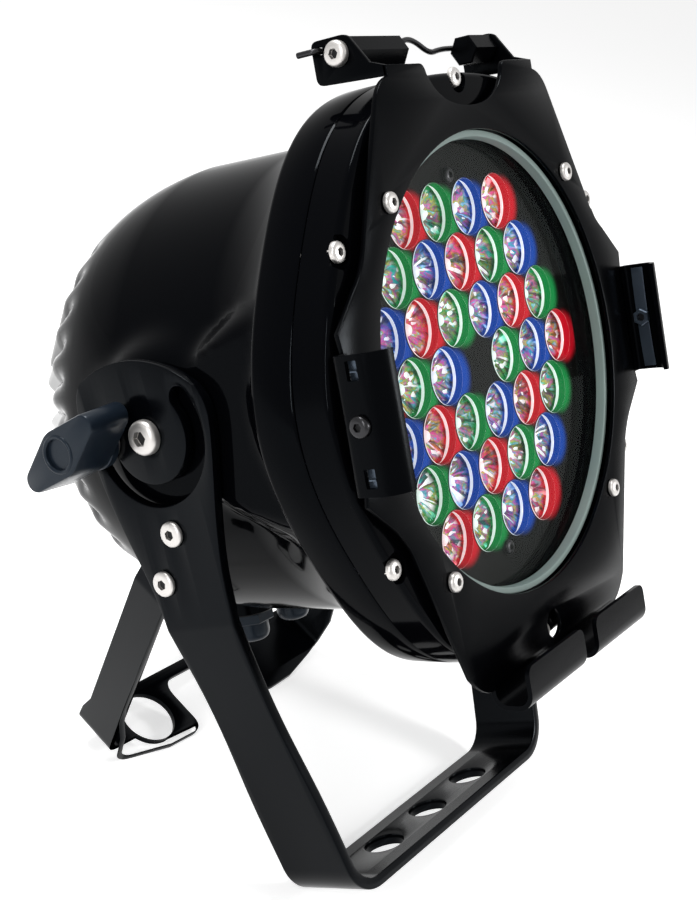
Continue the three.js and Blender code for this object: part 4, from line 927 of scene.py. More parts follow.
    def build(self, shop: Workshop) -> None:
        """Makes the body, the bezel ring and the joint between them.

        Args:
            shop: The workshop.
        """
        shell = spun(self.outer() + self.inner(), 288)
        self.shape_shell(shell)
        shop.piece("cast_body", shell, shop.frames.head, GLOSS.material(), "head", ["housing"], 50)
        back = self.seam_z + 0.3
        front = self.rim_side - 0.9
        ring = spun(
            [(97.7, back), (self.rim_side - 0.6, back), (self.rim_side, back + 0.8)]
            + [(front, self.bezel_front - 3.2), *arc((front - 2.4, self.bezel_front - 2.4), 2.4, 10, 90, 4)]
            + [(104, self.bezel_front), (98.5, self.bezel_front), (96, self.bezel_front - 0.5)]
            + [(95.3, self.bezel_front - 1.2), (95.3, 9.9), (97.7, 9.9)],
            192,
            closed=True,
        )
        for vert in ring.verts:
            r = math.hypot(vert.co.x, vert.co.y)
            scale = self.rim(r, math.atan2(vert.co.y, vert.co.x)) / r
            vert.co = (vert.co.x * scale, vert.co.y * scale, vert.co.z)
        floor, wide = self.pocket_floor, self.pocket_r
        well = [(0, floor), (wide, floor), (wide + 0.5, 14), (0, 14)]
        ring = carved(ring, merged(moved(spun(well, 32), place(x, y, 0)) for x, y in self.screw_places()))
        shop.piece("bezel", ring, shop.frames.head, GLOSS.material(), "head", ["bezel_ring"], 40)
        boss = [(0, 11), (5.5, 11), (5.5, 13.2), (5, 13.7), (0, 13.7)]
        bosses = merged(moved(spun(boss, 28), place(x, y, 0)) for x, y in PLATE_SCREWS)
        shop.piece("plate_bosses", bosses, shop.frames.head, GLOSS.material(), "head")


@dataclass
class FrontGlass:
    """The glass with its gasket, and the gloss inner wall behind it."""

    glass_r: float = 97.4

    def build(self, shop: Workshop) -> None:
        """Makes the glass, gasket and wall.

        Args:
            shop: The workshop.
        """
        head = shop.frames.head
        glass = spun([(0, 5), (96.9, 5), (97.4, 5.5), (97.4, 7.5), (96.9, 8), (0, 8)], 160)
        shop.piece("clear_front", glass, head, GLASS.material(), "head", ["front_glass"])
        seal = spun(
            [(97.2, 8.3), (97.2, 9.6), (95.1, 9.7), (95.0, 12.0), (94.6, 12.4), *arc((92.9, 11.8), 0.6, 90, 180, 4)]
            + [(91.9, 8.3)],
            160,
            closed=True,
        )
        shop.piece("pale_seal", seal, head, RUBBER.material(), "head", ["glass_gasket"])
        wall = spun(
            [(97.4, -17.6), (97.4, 4.7), (93, 4.7), (93, -2), (93.6, -2.4), (93.6, -5.4), (93, -5.8), (93, -17.6)],
            160,
            closed=True,
        )
        shop.piece("inner_wall", wall, head, GLOSS.material(), "head", ["inner_barrel"])


@dataclass
class LampField:
    """The black carrier with its 36 holders, pale rims and faceted lenses; the lamps' colours are painted on the
    carrier and holders as glowing light, and the rims and lenses carry painted highlights.
    """

    pitch: float = 25.0
    rim_r: float = 12.2
    lens_r: float = 11.3
    well: float = 3.9
    carrier_r: float = 92.0
    light_reach: float = 7.0
    board_z: float = -14.5
    facets: int = 18
    finest: float = 2.2
    rows: tuple[str, ...] = ("RGBR", "GBRGB", "BRGBRG", "RGB-GBR", "BRGBRG", "GBRGB", "RGBR")

    def places(self) -> list[tuple[float, float, Lamp]]:
        """Each lamp's place and colour.

        Returns:
            (x, y, colour) of each lamp.
        """
        colours = {"R": Lamp.RED, "G": Lamp.GREEN, "B": Lamp.BLUE}
        found = []
        for row, letters in enumerate(self.rows):
            y = (3 - row) * self.pitch * math.sqrt(3) / 2
            for i, letter in enumerate(letters):
                if letter != "-":
                    found.append(((i - (len(letters) - 1) / 2) * self.pitch, y, colours[letter]))
        return found

    def holder(self) -> bmesh.types.BMesh:
        """One holder: a wall that leans in from the carrier's hole to the lens.

        Returns:
            The shape.
        """
        low, rim, lens = -self.well, self.rim_r, self.lens_r
        profile = [(rim, -1.2), (rim, -0.8), (rim - 0.3, -0.6), (lens + 0.45, low + 0.4), (lens + 0.2, low - 0.2)]
        return spun([*profile, (lens + 0.2, low - 6), (rim, low - 6)], 40, closed=True)

    def painted_highlight_parts(self) -> bmesh.types.BMesh:
        """The sloping edge of one lens, a thin ring at the holder's lip and the clear dome in the middle of its cup,
        drawn pale and glowing as a painted highlight.

        Returns:
            The shape.
        """
        low, lens, lip = -self.well, self.lens_r, self.rim_r - 0.3
        slope = [(lens + 0.3, low + 0.3), (lens, low - 0.3), (lens, low - 1.2), (lens + 0.3, low - 0.8)]
        edge = spun(slope, 40, closed=True)
        self.taper(edge, (lens + 0.3, low + 0.1), 1)
        front = spun(arc((lip, -0.55), 0.17, 0, 360, 6)[:-1], 40, closed=True)
        self.taper(front, (lip, -0.6), -1)
        dome = [(0, low - 5.6), (2.5, low - 5.6), (2.5, low - 3.6), (2.0, low - 2.6), (1.0, low - 2.1), (0, low - 2)]
        return merged([edge, front, spun(dome, 14)])

    def taper(self, ring: bmesh.types.BMesh, core: Point, side: int) -> None:
        """Thins a ring towards one side, so that the painted highlight on it runs out there.

        Args:
            ring: The ring.
            core: The [radius, z] that it shrinks to.
            side: 1 to keep it full at positive x, -1 at negative x.
        """
        for vert in ring.verts:
            x, y, z = vert.co
            r = math.hypot(x, y)
            full = 0.05 + 0.95 * smooth(side * x / r, -0.05, 0.95)
            r_new = core[0] + (r - core[0]) * full
            vert.co = (x * r_new / r, y * r_new / r, core[1] + (z - core[1]) * full)

    def lens(self) -> bmesh.types.BMesh:
        """One lens: a faceted cup with its own map, u round it and v outwards.

        Returns:
            The shape.
        """
        low = -self.well
        profile = [(0, low - 5.4), (2.7, low - 5.2), (5.6, low - 3.9), (8.3, low - 2.3), (self.lens_r, low - 0.9)]
        shape = spun(profile, self.facets)
        for vert in shape.verts:
            r = math.hypot(vert.co.x, vert.co.y)
            if 1 < r < 10:
                vert.co.z += 0.4 * math.cos(self.facets / 2 * math.atan2(vert.co.y, vert.co.x))
        layer = shape.loops.layers.uv.new("map")
        for face in shape.faces:
            middle = face.calc_center_median()
            base = math.atan2(middle.y, middle.x)
            for loop in face.loops:
                x, y = loop.vert.co.x, loop.vert.co.y
                r = math.hypot(x, y)
                swing = math.remainder(math.atan2(y, x) - base, 2 * math.pi) if r > 0.1 else 0.0
                loop[layer].uv = ((base + swing) / (2 * math.pi) + 0.5, r / self.lens_r)
        return shape

    def painted_lamp_light(self, x: float, y: float) -> tuple[float, float, float, float]:
        """The painted light that the nearest lamp throws on the carrier, strongest beside it.

        Args:
            x: Place across.
            y: Place up.

        Returns:
            The colour, with 1 as its fourth number.
        """
        shifted = [(lamp_x + self.light_reach, lamp_y - 1.5, lamp) for lamp_x, lamp_y, lamp in self.places()]
        near_x, near_y, lamp = min(shifted, key=lambda spot: math.hypot(x - spot[0], y - spot[1]))
        away = math.hypot(x - near_x, y - near_y)
        share = 1 - smooth(away, self.rim_r - 4, self.rim_r + 1)
        red, green, blue = lamp.value[0]
        return (red * share, green * share, blue * share, 1.0)

    def carrier(self) -> bmesh.types.BMesh:
        """The carrier sheet, finely divided, with the lamps' light painted as an attribute of its points.

        Returns:
            The shape.
        """
        holes = [circle(x, y, self.rim_r - 0.05, 40) for x, y, _ in self.places()]
        sheet = moved(flat(circle(0, 0, self.carrier_r, 128), holes, 1.6, 0.08), place(0, 0, -2.6))
        for _ in range(5):
            long = [edge for edge in sheet.edges if edge.calc_length() > self.finest]
            if not long:
                break
            bmesh.ops.subdivide_edges(sheet, edges=long, cuts=1)
            bmesh.ops.triangulate(sheet, faces=[face for face in sheet.faces if len(face.verts) > 3])
        layer = sheet.verts.layers.float_color.new("painted_lamp_light")
        for vert in sheet.verts:
            vert[layer] = self.painted_lamp_light(vert.co.x, vert.co.y)
        return sheet

    def shade(self, cups: bmesh.types.BMesh, spots: Sequence[Point], colour: Colour) -> None:
        """Paints the lamp's light on the holders, strongest on their inner right side.

        Args:
            cups: The holders, which get the attribute painted_lamp_light.
            spots: Their middles.
            colour: The lamps' colour.
        """
        layer = cups.verts.layers.float_color.new("painted_lamp_light")
        for vert in cups.verts:
            near_x, _ = min(spots, key=lambda spot: math.hypot(vert.co.x - spot[0], vert.co.y - spot[1]))
            # The holders stay dark but for this painted light, brightest to the right of each lamp's middle.
            beside = smooth((vert.co.x - near_x) / self.rim_r, -0.35, 0.55)
            vert[layer] = (*(c * (0.04 + 0.96 * beside) for c in colour), 1.0)

    def build(self, shop: Workshop) -> None:
        """Makes the carrier, and the holders and lenses of each colour.

        Args:
            shop: The workshop.
        """
        head = shop.frames.head
        shop.piece("carrier_sheet", self.carrier(), head, carrier_with_painted_light(), "head", ["lamp_carrier"], 1)
        wide, front, back = self.carrier_r, self.board_z, self.board_z - 1.6
        board = spun([(0, front), (wide, front), (wide, back), (0, back)], 96)
        shop.piece("lamp_circuit", board, head, BOARD.material(), "head", ["lamp_board"])
        for lamp in Lamp:
            spots = [(x, y) for x, y, colour in self.places() if colour is lamp]
            name = lamp.name.lower()
            colour, painted_gleam = lamp.value
            cups = merged(moved(self.holder(), place(x, y, 0)) for x, y in spots)
            self.shade(cups, spots, colour)
            shop.piece(f"lamp_holders_{name}", cups, head, carrier_with_painted_light(), "head")
            # The pale glowing rims are a painted highlight, not a lamp.
            pale = Finish(f"rim_{name}", tuple(0.75 + 0.25 * c for c in painted_gleam), 0.12, grain=500, glow=0.5)
            edges = merged(moved(self.painted_highlight_parts(), place(x, y, 0)) for x, y in spots)
            shop.piece(f"lamp_rim_highlights_{name}", edges, head, pale.material(), "head")
            cups = merged(
                moved(self.lens(), place(x, y, 0) @ Matrix.Rotation(0.35 * math.sin(2.4 * i), 4, "Z"))
                for i, (x, y) in enumerate(spots)
            )
            shop.piece(
                f"lamp_lenses_{name}", cups, head, LensLook(lamp).material(), "head", crease=8
            )


@dataclass
class FrontPlate:
    """The bent front plate with its ears, frame channels, hooks and latch tabs."""

    back: float = 14.0
    gauge: float = 2.0
    slot_depth: float = 16.0
    half_w: float = 122.0
    opening_r: float = 95.0
    tab_x: float = 57.5
    hook_tip: float = -112.0

    def edge(self) -> list[Point]:
        """Right half of the plate's edge, from the bottom middle up to the notch.

        Returns:
            Its points in x and y.
        """
        line: list[Point] = [(0, -122), (55, -122)]
        line += curve_points((55, -122), [(63, -122)], (71.25, -111.75), 6)
        line += [(94, -55)]
        line += curve_points((94, -55), [(96.5, -49.5)], (103, -43), 6)
        line += [(117, -31), (116, -26), (116, 24), (117, 31), (103, 44)]
        line += curve_points((103, 44), [(94.5, 50)], (90, 62.5), 6)
        line += [(68.5, 108.5)]
        line += curve_points((68.5, 108.5), [(65, 116)], (57.5, 117.5), 6)
        line += [(57.5, 121.5), (34, 121.5)]
        line += curve_points((34, 121.5), [(31, 121.5)], (30, 117.5), 5)
        line += curve_points((30, 117.5), [(23, 104.5)], (0, 104.5), 14)
        return line

    def sheet(self) -> bmesh.types.BMesh:
        """The flat part with its opening, notch and holes.

        Returns:
            The shape.
        """
        right = self.edge()
        outline = right + [(-x, y) for x, y in reversed(right[1:-1])]
        holes = [circle(0, 0, self.opening_r, 128), circle(0, -112.5, 6, 24)]
        holes += [circle(x, y, 2.3, 12) for x, y in PLATE_SCREWS]
        return moved(flat(outline, holes, self.gauge, 0.35), place(0, 0, self.back))

    def channel(self) -> bmesh.types.BMesh:
        """The channel on the right, with its two windows and its screw hole.

        Returns:
            The shape.
        """
        front = self.back + 2 * self.gauge + self.slot_depth
        line = [(self.half_w - 8, self.back), *arc((self.half_w - 3, self.back + 3), 3, -90, 0, 4)]
        line += [*arc((self.half_w - 10, front - 10), 10, 0, 90, 10), (112, front)]
        strip = moved(ribbon(line, 50, self.gauge), place(0, -1, 0))
        window = [(-8, -3.5), (8, -3.5), (8, 3.5), (-8, 3.5)]
        tools = [moved(flat(window, [], 4.6, 0.3), place(self.half_w, y, 20)) for y in (18.5, -19.5)]
        hole = spun([(0, -8), (2.4, -8), (2.4, 8), (0, 8)], 20)
        tools.append(moved(hole, place(self.half_w, -0.8, 22.5) @ along_x(1)))
        return carved(strip, merged(tools))

    def hook(self) -> bmesh.types.BMesh:
        """The hook on the right: a strip that turns forward and back up round the frame's edge.

        Returns:
            The shape.
        """
        front = self.back + 2 * self.gauge + self.slot_depth - 1.75
        line = [(-120, self.back), *arc((-123, self.back + 7), 7, 270, 180, 8)]
        line += [*arc((-123, front - 7), 7, 180, 90, 8), (self.hook_tip, front)]
        strip = ribbon([(a, b) for a, b in reversed(line)], 49, self.gauge)
        tips = [
            edge
            for edge in strip.edges
            if all(abs(vert.co.x - self.hook_tip) < 0.1 for vert in edge.verts)
            and abs(edge.verts[0].co.y - edge.verts[1].co.y) < 0.1
        ]
        bmesh.ops.bevel(strip, geom=tips, offset=4, segments=5, profile=0.5, affect="EDGES", material=-1)
        return moved(strip, Matrix(((0, 1, 0, 30.5), (1, 0, 0, 0), (0, 0, 1, 0), (0, 0, 0, 1))))

    def tab(self) -> bmesh.types.BMesh:
        """The tab behind the right ear, with holes for the bar's screw and for the wire.

        Returns:
            The shape.
        """
        outline: list[Point] = [(117.5, 15.5), (121.5, 15.5), (124, 8.5), (134.5, 1.5)]
        outline += curve_points((134.5, 1.5), [(136, 0)], (136, -2.5), 4) + [(136, -13)]
        outline += curve_points((136, -13), [(136, -16)], (133, -16), 5) + [(122.5, -16)]
        outline += curve_points((122.5, -16), [(119.5, -16)], (119.2, -13), 5)
        holes = [circle(129.5, -4, 2.8, 16), circle(132, -12.1, 1.5, 12)]
        plate = flat(list(reversed(outline)), holes, self.gauge, 0.3)
        return moved(plate, upright_at(self.tab_x - self.gauge))

    def build(self, shop: Workshop) -> None:
        """Makes the plate as one piece.

        Args:
            shop: The workshop.
        """
        shapes = [self.sheet()]
        for make in (self.channel, self.hook, self.tab):
            shapes += [make(), moved(make(), MIRROR)]
        head, finish = shop.frames.head, SATIN.material()
        shop.piece("face_plate", merged(shapes), head, finish, "head", ["front_plate"], 32, 0.25)


@dataclass
class FrameSprings:
    """The leaf springs inside the side channels: bowed strips with bent ends and a nut in the middle."""

    half: float = 23.4
    hook_at: float = 19.4
    middle: float = -1.0
    width: float = 5.6
    gauge: float = 0.6
    back_x: float = 119.1
    screw: Point = (-0.8, 22.5)
    bow: float = 1.0

    def leaf(self) -> bmesh.types.BMesh:
        """The right spring with its nut.

        Returns:
            The shape.
        """
        low, high, half_w = self.middle - self.half, self.middle + self.half, self.width / 2
        y, z = self.screw
        edge = [(low, z - half_w), (high, z - half_w), (high, z + half_w), (low, z + half_w)]
        strip = flat(edge, [circle(y, z, 2.3, 16)], self.gauge, 0.08)
        sliced(strip, [low + (high - low) * i / 16 for i in range(1, 16)])
        for vert in strip.verts:
            share = (vert.co.x - self.middle) / self.half
            vert.co.z -= self.bow * max(1 - share * share, 0)
        ends = [
            moved(flat([(0, z - 1.4), (2.2, z - 1.4), (2.2, z + 1.4), (0, z + 1.4)], [], 0.6, 0.08),
                  Matrix(((0, 0, 1, edge_y), (0, 1, 0, 0), (1, 0, 0, 0), (0, 0, 0, 1))))
            for edge_y in (self.middle - self.hook_at, self.middle + self.hook_at - 0.6)
        ]
        nut = spun([(2.1, -3.4), (3.7, -3.4), (4.1, -3.0), (4.1, -1.2), (2.1, -1.2)], 6, closed=True)
        return moved(merged([strip, *ends, moved(nut, place(y, z, 0))]), upright_at(self.back_x))

    def build(self, shop: Workshop) -> None:
        """Makes both springs.

        Args:
            shop: The workshop.
        """
        head, finish = shop.frames.head, LEAF.material()
        for side, sign in SIDES:
            shape = self.leaf() if sign > 0 else moved(self.leaf(), MIRROR)
            shop.piece(f"leaf_{side}", shape, head, finish, "head", [f"frame_spring_{side}"])


@dataclass
class Fasteners:
    """The screws and bolts, each with its drive."""

    def screw(self, shank: float, length: float, head_r: float, head_t: float, drive: float) -> bmesh.types.BMesh:
        """A pan-head screw along z with a six-sided drive.

        Args:
            shank: Shank radius.
            length: Shank length.
            head_r: Head radius.
            head_t: Head height.
            drive: Radius of the drive across its corners.

        Returns:
            The shape, its head seated at z = 0.
        """
        dome = curve_points((head_r, 0.4 * head_t), [(head_r, head_t)], (0.4 * head_r, head_t), 6)
        low = [(0, -length), (shank, -length), (shank, 0), (head_r - 0.2, 0), (head_r, 0.2), (head_r, 0.4 * head_t)]
        head = spun([*low, *dome, (0, head_t)], 32)
        tool = spun([(0, 0.45 * head_t), (drive, 0.45 * head_t), (drive, head_t + 1), (0, head_t + 1)], 6)
        return carved(head, tool)

    def batch(self, shop: Workshop, name: str, nodes: Sequence[str], spots: Sequence[Matrix], sizes: Sequence[float],
              frame: Matrix, finish: Finish, body: str) -> None:
        """Makes equal screws as one piece.

        Args:
            shop: The workshop.
            name: The piece's name.
            nodes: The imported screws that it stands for.
            spots: Where the heads sit.
            sizes: Arguments of screw.
            frame: The frame of the spots.
            finish: The screws' finish.
            body: The body that they ride on.
        """
        turned = [spot @ Matrix.Rotation(0.7 * i, 4, "Z") for i, spot in enumerate(spots)]
        shapes = [moved(self.screw(*sizes), spot) for spot in turned]
        shop.piece(name, merged(shapes), frame, finish.material(), body, nodes, 30)
        # Dark discs at the floor of each drive are painted shade in the socket.
        floor, drive = 0.45 * sizes[3] + 0.04, sizes[4] * 0.96
        disc = [(0, floor - 0.2), (drive, floor - 0.2), (drive, floor), (0, floor)]
        shade_discs = merged(moved(spun(disc, 6), spot) for spot in turned)
        shop.piece(f"{name}_drives", shade_discs, frame, SOCKET.material(), body)

    def build(self, shop: Workshop, body: CastBody) -> None:
        """Makes all screws and bolts.

        Args:
            shop: The workshop.
            body: The body that holds the bezel's screws.
        """
        head, stand = shop.frames.head, shop.frames.stand
        bright = "bright_steel"
        rows = (
            ("bezel_screws", [f"bezel_screw_{i}" for i in range(1, 7)],
             [place(x, y, 9.3) for x, y in body.screw_places()], (2, 20, 4, 2.6, 1.7), STEEL, bright),
            ("plate_screws", [f"plate_screw_{i}" for i in range(1, 5)],
             [place(x, y, 16.3) for x, y in PLATE_SCREWS], (2, 15, 4, 2.6, 1.7), STEEL, bright),
            ("channel_screws", [f"channel_screw_{side}" for side, _ in SIDES],
             on_both_sides(122.3, -0.8, 22.5), (2, 4, 4, 2.6, 1.7), OXIDE, "black_screws"),
            ("latch_screws", [f"latch_screw_{side}" for side, _ in SIDES],
             on_both_sides(57.8, 129.5, -4), (2.5, 14, 5, 3.4, 2.1), STEEL, bright),
            ("pivot_bolts", [f"pivot_bolt_{side}" for side, _ in SIDES],
             on_both_sides(ARM_FACE_X, 0, PIVOT_Z), (4, 26.9, 7.1, 4.6, 3.3), STEEL, bright),
            ("carrier_screws", ["lamp_board_screw_1", "lamp_board_screw_2"],
             [place(0, y, -0.7) for y in (-79, 79)], (2, 15, 3.2, 2.2, 1.5), OXIDE, bright),
        )
        for name, nodes, spots, sizes, finish, slot in rows:
            self.batch(shop, name, nodes, spots, sizes, head, finish, "head")
        names = [f"stand_screw_{side}_{i}" for side, _ in SIDES for i in (1, 2)]
        spots = [place(sign * ARM_FACE_X, y, z) @ along_x(sign) for _, sign in SIDES for y, z in brace_places()]
        self.batch(shop, "stand_screws", names, spots, (2.5, 8.6, 5.25, 2.4, 2.2), stand, STEEL, "stand")


@dataclass
class FrameLatch:
    """The two hexagonal bars between the ears and the kinked spring wire behind them."""

    def build(self, shop: Workshop) -> None:
        """Makes the bars and the wire.

        Args:
            shop: The workshop.
        """
        head = shop.frames.head
        r = 11.5 / math.sqrt(3)
        for side, sign in SIDES:
            length = 38 if sign < 0 else 19
            bar = spun([(0, 0), (r - 0.6, 0), (r, 0.6), (r, length - 0.6), (r - 0.6, length), (0, length)], 6)
            bar = moved(bar, place(sign * 55.2, 129.5, -4) @ along_x(-sign))
            name, finish = f"latch_bar_{side}", SATIN.material()
            shop.piece(f"{name}_piece", bar, head, finish, "head", [name], 30)
        self.wire(shop)

    def wire(self, shop: Workshop) -> None:
        """Sweeps the wire along its bends.

        Args:
            shop: The workshop.
        """
        end = 60.8
        bends = [(-end, 0, -8), (-end, 0, -4), (-end + 0.6, 0, -0.6), (-end + 4, 0, 0), (-24, 0, 0), (-2, 0.6, 0),
                 (3, 4.05, 0), (11, 3.6, 0), (22, -2, 0), (30, -0.45, 0), (40, 0, 0), (end - 4, 0, 0),
                 (end - 0.6, 0, -0.6), (end, 0, -4), (end, 0, -8)]
        curve = bpy.data.curves.new("wire", "CURVE")
        curve.dimensions = "3D"
        curve.bevel_depth = 1.2
        curve.bevel_resolution = 3
        curve.use_fill_caps = True
        spline = curve.splines.new("NURBS")
        spline.points.add(len(bends) - 1)
        for point, (x, y, z) in zip(spline.points, bends):
            point.co = (x, 132 + y, -12.14 + z, 1)
        spline.use_endpoint_u = True
        spline.order_u = 3
        spline.resolution_u = 6
        head, finish = shop.frames.head, OXIDE.material()
        shop.piece("spring_wire", shape_of(curve), head, finish, "latch_wire", ["latch_wire"])


@dataclass
class WingKnob:
    """One wing knob with its washer: a thick-waisted bar, a ring round its cap and a round hub."""

    reach: float = 25.0
    depth: float = 23.5
    seat: float = 115.2
    ring_r: float = 7.6
    from_pivot: float = 24.0

    def body(self) -> bmesh.types.BMesh:
        """The knob along z, with its wings along x.

        Returns:
            The shape.
        """
        end = 5.4
        outline = hull_of_circles([(-self.reach + end, end), (0, 10.6), (self.reach - end, end)], 14)
        bar = flat(outline, [], self.depth - 3.2, 1.1)
        bmesh.ops.translate(bar, verts=bar.verts, vec=(0, 0, 3))
        for vert in bar.verts:
            share = smooth(vert.co.z, 3, self.depth)
            vert.co.x *= 1 - 0.06 * share
            vert.co.y *= 1 - 0.08 * share
        top = self.depth - 0.2
        cap = spun(
            [(0, top - 1.4), (self.ring_r - 1.6, top - 1.4), (self.ring_r - 1.3, top - 0.4)]
            + arc((self.ring_r - 0.5, top - 0.3), 0.9, 160, 10, 5)
            + [(self.ring_r + 0.4, top - 2.5), (0, top - 2.5)],
            40,
        )
        recess = spun([(0, top - 1.8), (self.ring_r - 1.5, top - 1.8), (self.ring_r - 1.2, top + 2), (0, top + 2)], 40)
        hub = spun([(0, 0), (10.4, 0), (11, 0.6), (11, 4), (10.4, 4.6), (0, 4.6)], 40)
        return merged([carved(bar, recess), cap, hub])

    def build(self, shop: Workshop) -> None:
        """Makes both knobs and their washers.

        Args:
            shop: The workshop.
        """
        head = shop.frames.head
        z = PIVOT_Z - self.from_pivot
        for side, sign in SIDES:
            turn = math.radians(32 if sign < 0 else 148)
            where = place(sign * self.seat, 0, z) @ along_x(sign) @ Matrix.Rotation(turn, 4, "Z")
            shop.piece(f"wing_knob_{side}", moved(self.body(), where), head, PLASTIC.material(), f"knob_{side}",
                       [f"clamp_knob_{side}"], 34)
            washer = spun([(4.3, 0), (9.3, 0), (9.5, 0.3), (9.5, 1.3), (9.3, 1.6), (4.3, 1.6)], 40, closed=True)
            washer = moved(washer, place(sign * ARM_FACE_X, 0, z) @ along_x(sign))
            shop.piece(f"bright_washer_{side}", washer, head, STEEL.material(), f"knob_{side}",
                       [f"knob_washer_{side}"])


@dataclass
class BentStrap:
    """A strap bent to a U: foot, two round bends and leaning arms with upright tops.

    Attributes:
        outer_x: Half the width outside the upright tops.
        foot_z: Height of the foot's outer face, below the pivot.
        foot_r: Outer radius of the bends at the foot.
        lean_z: Height where the arms begin to lean.
        lean: Lean of the arms in radians.
        gauge: Thickness.
    """

    outer_x: float
    foot_z: float
    foot_r: float
    lean_z: float
    lean: float
    gauge: float

    def sections(self) -> tuple[float, float, float, float]:
        """Half the foot's flat width, and the lengths where the bend, arm and upright begin.

        Returns:
            The four lengths.
        """
        centre_z = self.foot_z + self.foot_r
        along = (centre_z - self.foot_r * math.sin(self.lean) - self.lean_z) / math.cos(self.lean)
        centre_x = self.outer_x + along * math.sin(self.lean) - self.foot_r * math.cos(self.lean)
        bend = centre_x
        arm = bend + self.foot_r * (math.pi / 2 - self.lean)
        return centre_x, bend, arm, arm - along

    def fold(self, length: float, depth: float) -> tuple[float, float]:
        """Where a place of the flat strap lies once bent.

        Args:
            length: Distance from the middle of the foot.
            depth: Depth below the outer face.

        Returns:
            Its x and z.
        """
        centre_x, bend, arm, upright = self.sections()
        sign = math.copysign(1, length)
        s = abs(length)
        centre_z = self.foot_z + self.foot_r
        if s <= bend:
            x, z = s, self.foot_z + depth
        elif s <= arm:
            angle = -math.pi / 2 + (s - bend) / self.foot_r
            r = self.foot_r - depth
            x, z = centre_x + r * math.cos(angle), centre_z + r * math.sin(angle)
        elif s <= upright:
            start_x = centre_x + self.foot_r * math.cos(self.lean)
            start_z = centre_z - self.foot_r * math.sin(self.lean)
            run = s - arm
            x = start_x + run * math.sin(self.lean) - depth * math.cos(self.lean)
            z = start_z + run * math.cos(self.lean) + depth * math.sin(self.lean)
        else:
            x, z = self.outer_x - depth, self.lean_z + (s - upright)
        return sign * x, z

    def length_at(self, z: float) -> float:
        """The flat strap's length where its outer face is at height z, above the foot's bend.

        Args:
            z: The height.

        Returns:
            The length.
        """
        _, _, arm, upright = self.sections()
        if z >= self.lean_z:
            return upright + z - self.lean_z
        start_z = self.foot_z + self.foot_r - self.foot_r * math.sin(self.lean)
        return arm + (z - start_z) / math.cos(self.lean)

    def bent(self, outline: Profile, holes: Iterable[Profile], edge: float) -> bmesh.types.BMesh:
        """Cuts the flat strap out and bends it.

        Args:
            outline: Its edge, as length from the foot's middle and place across.
            holes: The edges of its holes.
            edge: Radius of its edges.

        Returns:
            The shape, with x across the light, y across the strap and z up.
        """
        shape = flat(outline, holes, self.gauge, edge)
        _, bend, arm, upright = self.sections()
        stations = [bend + (arm - bend) * i / 12 for i in range(13)]
        stations += [upright - 1.5, upright - 0.5, upright + 0.5, upright + 1.5]
        sliced(shape, [sign * station for station in stations for sign in (-1, 1)])
        for vert in shape.verts:
            x, z = self.fold(vert.co.x, vert.co.z)
            vert.co = (x, vert.co.y, z)
        bmesh.ops.recalc_face_normals(shape, faces=shape.faces)
        return shape


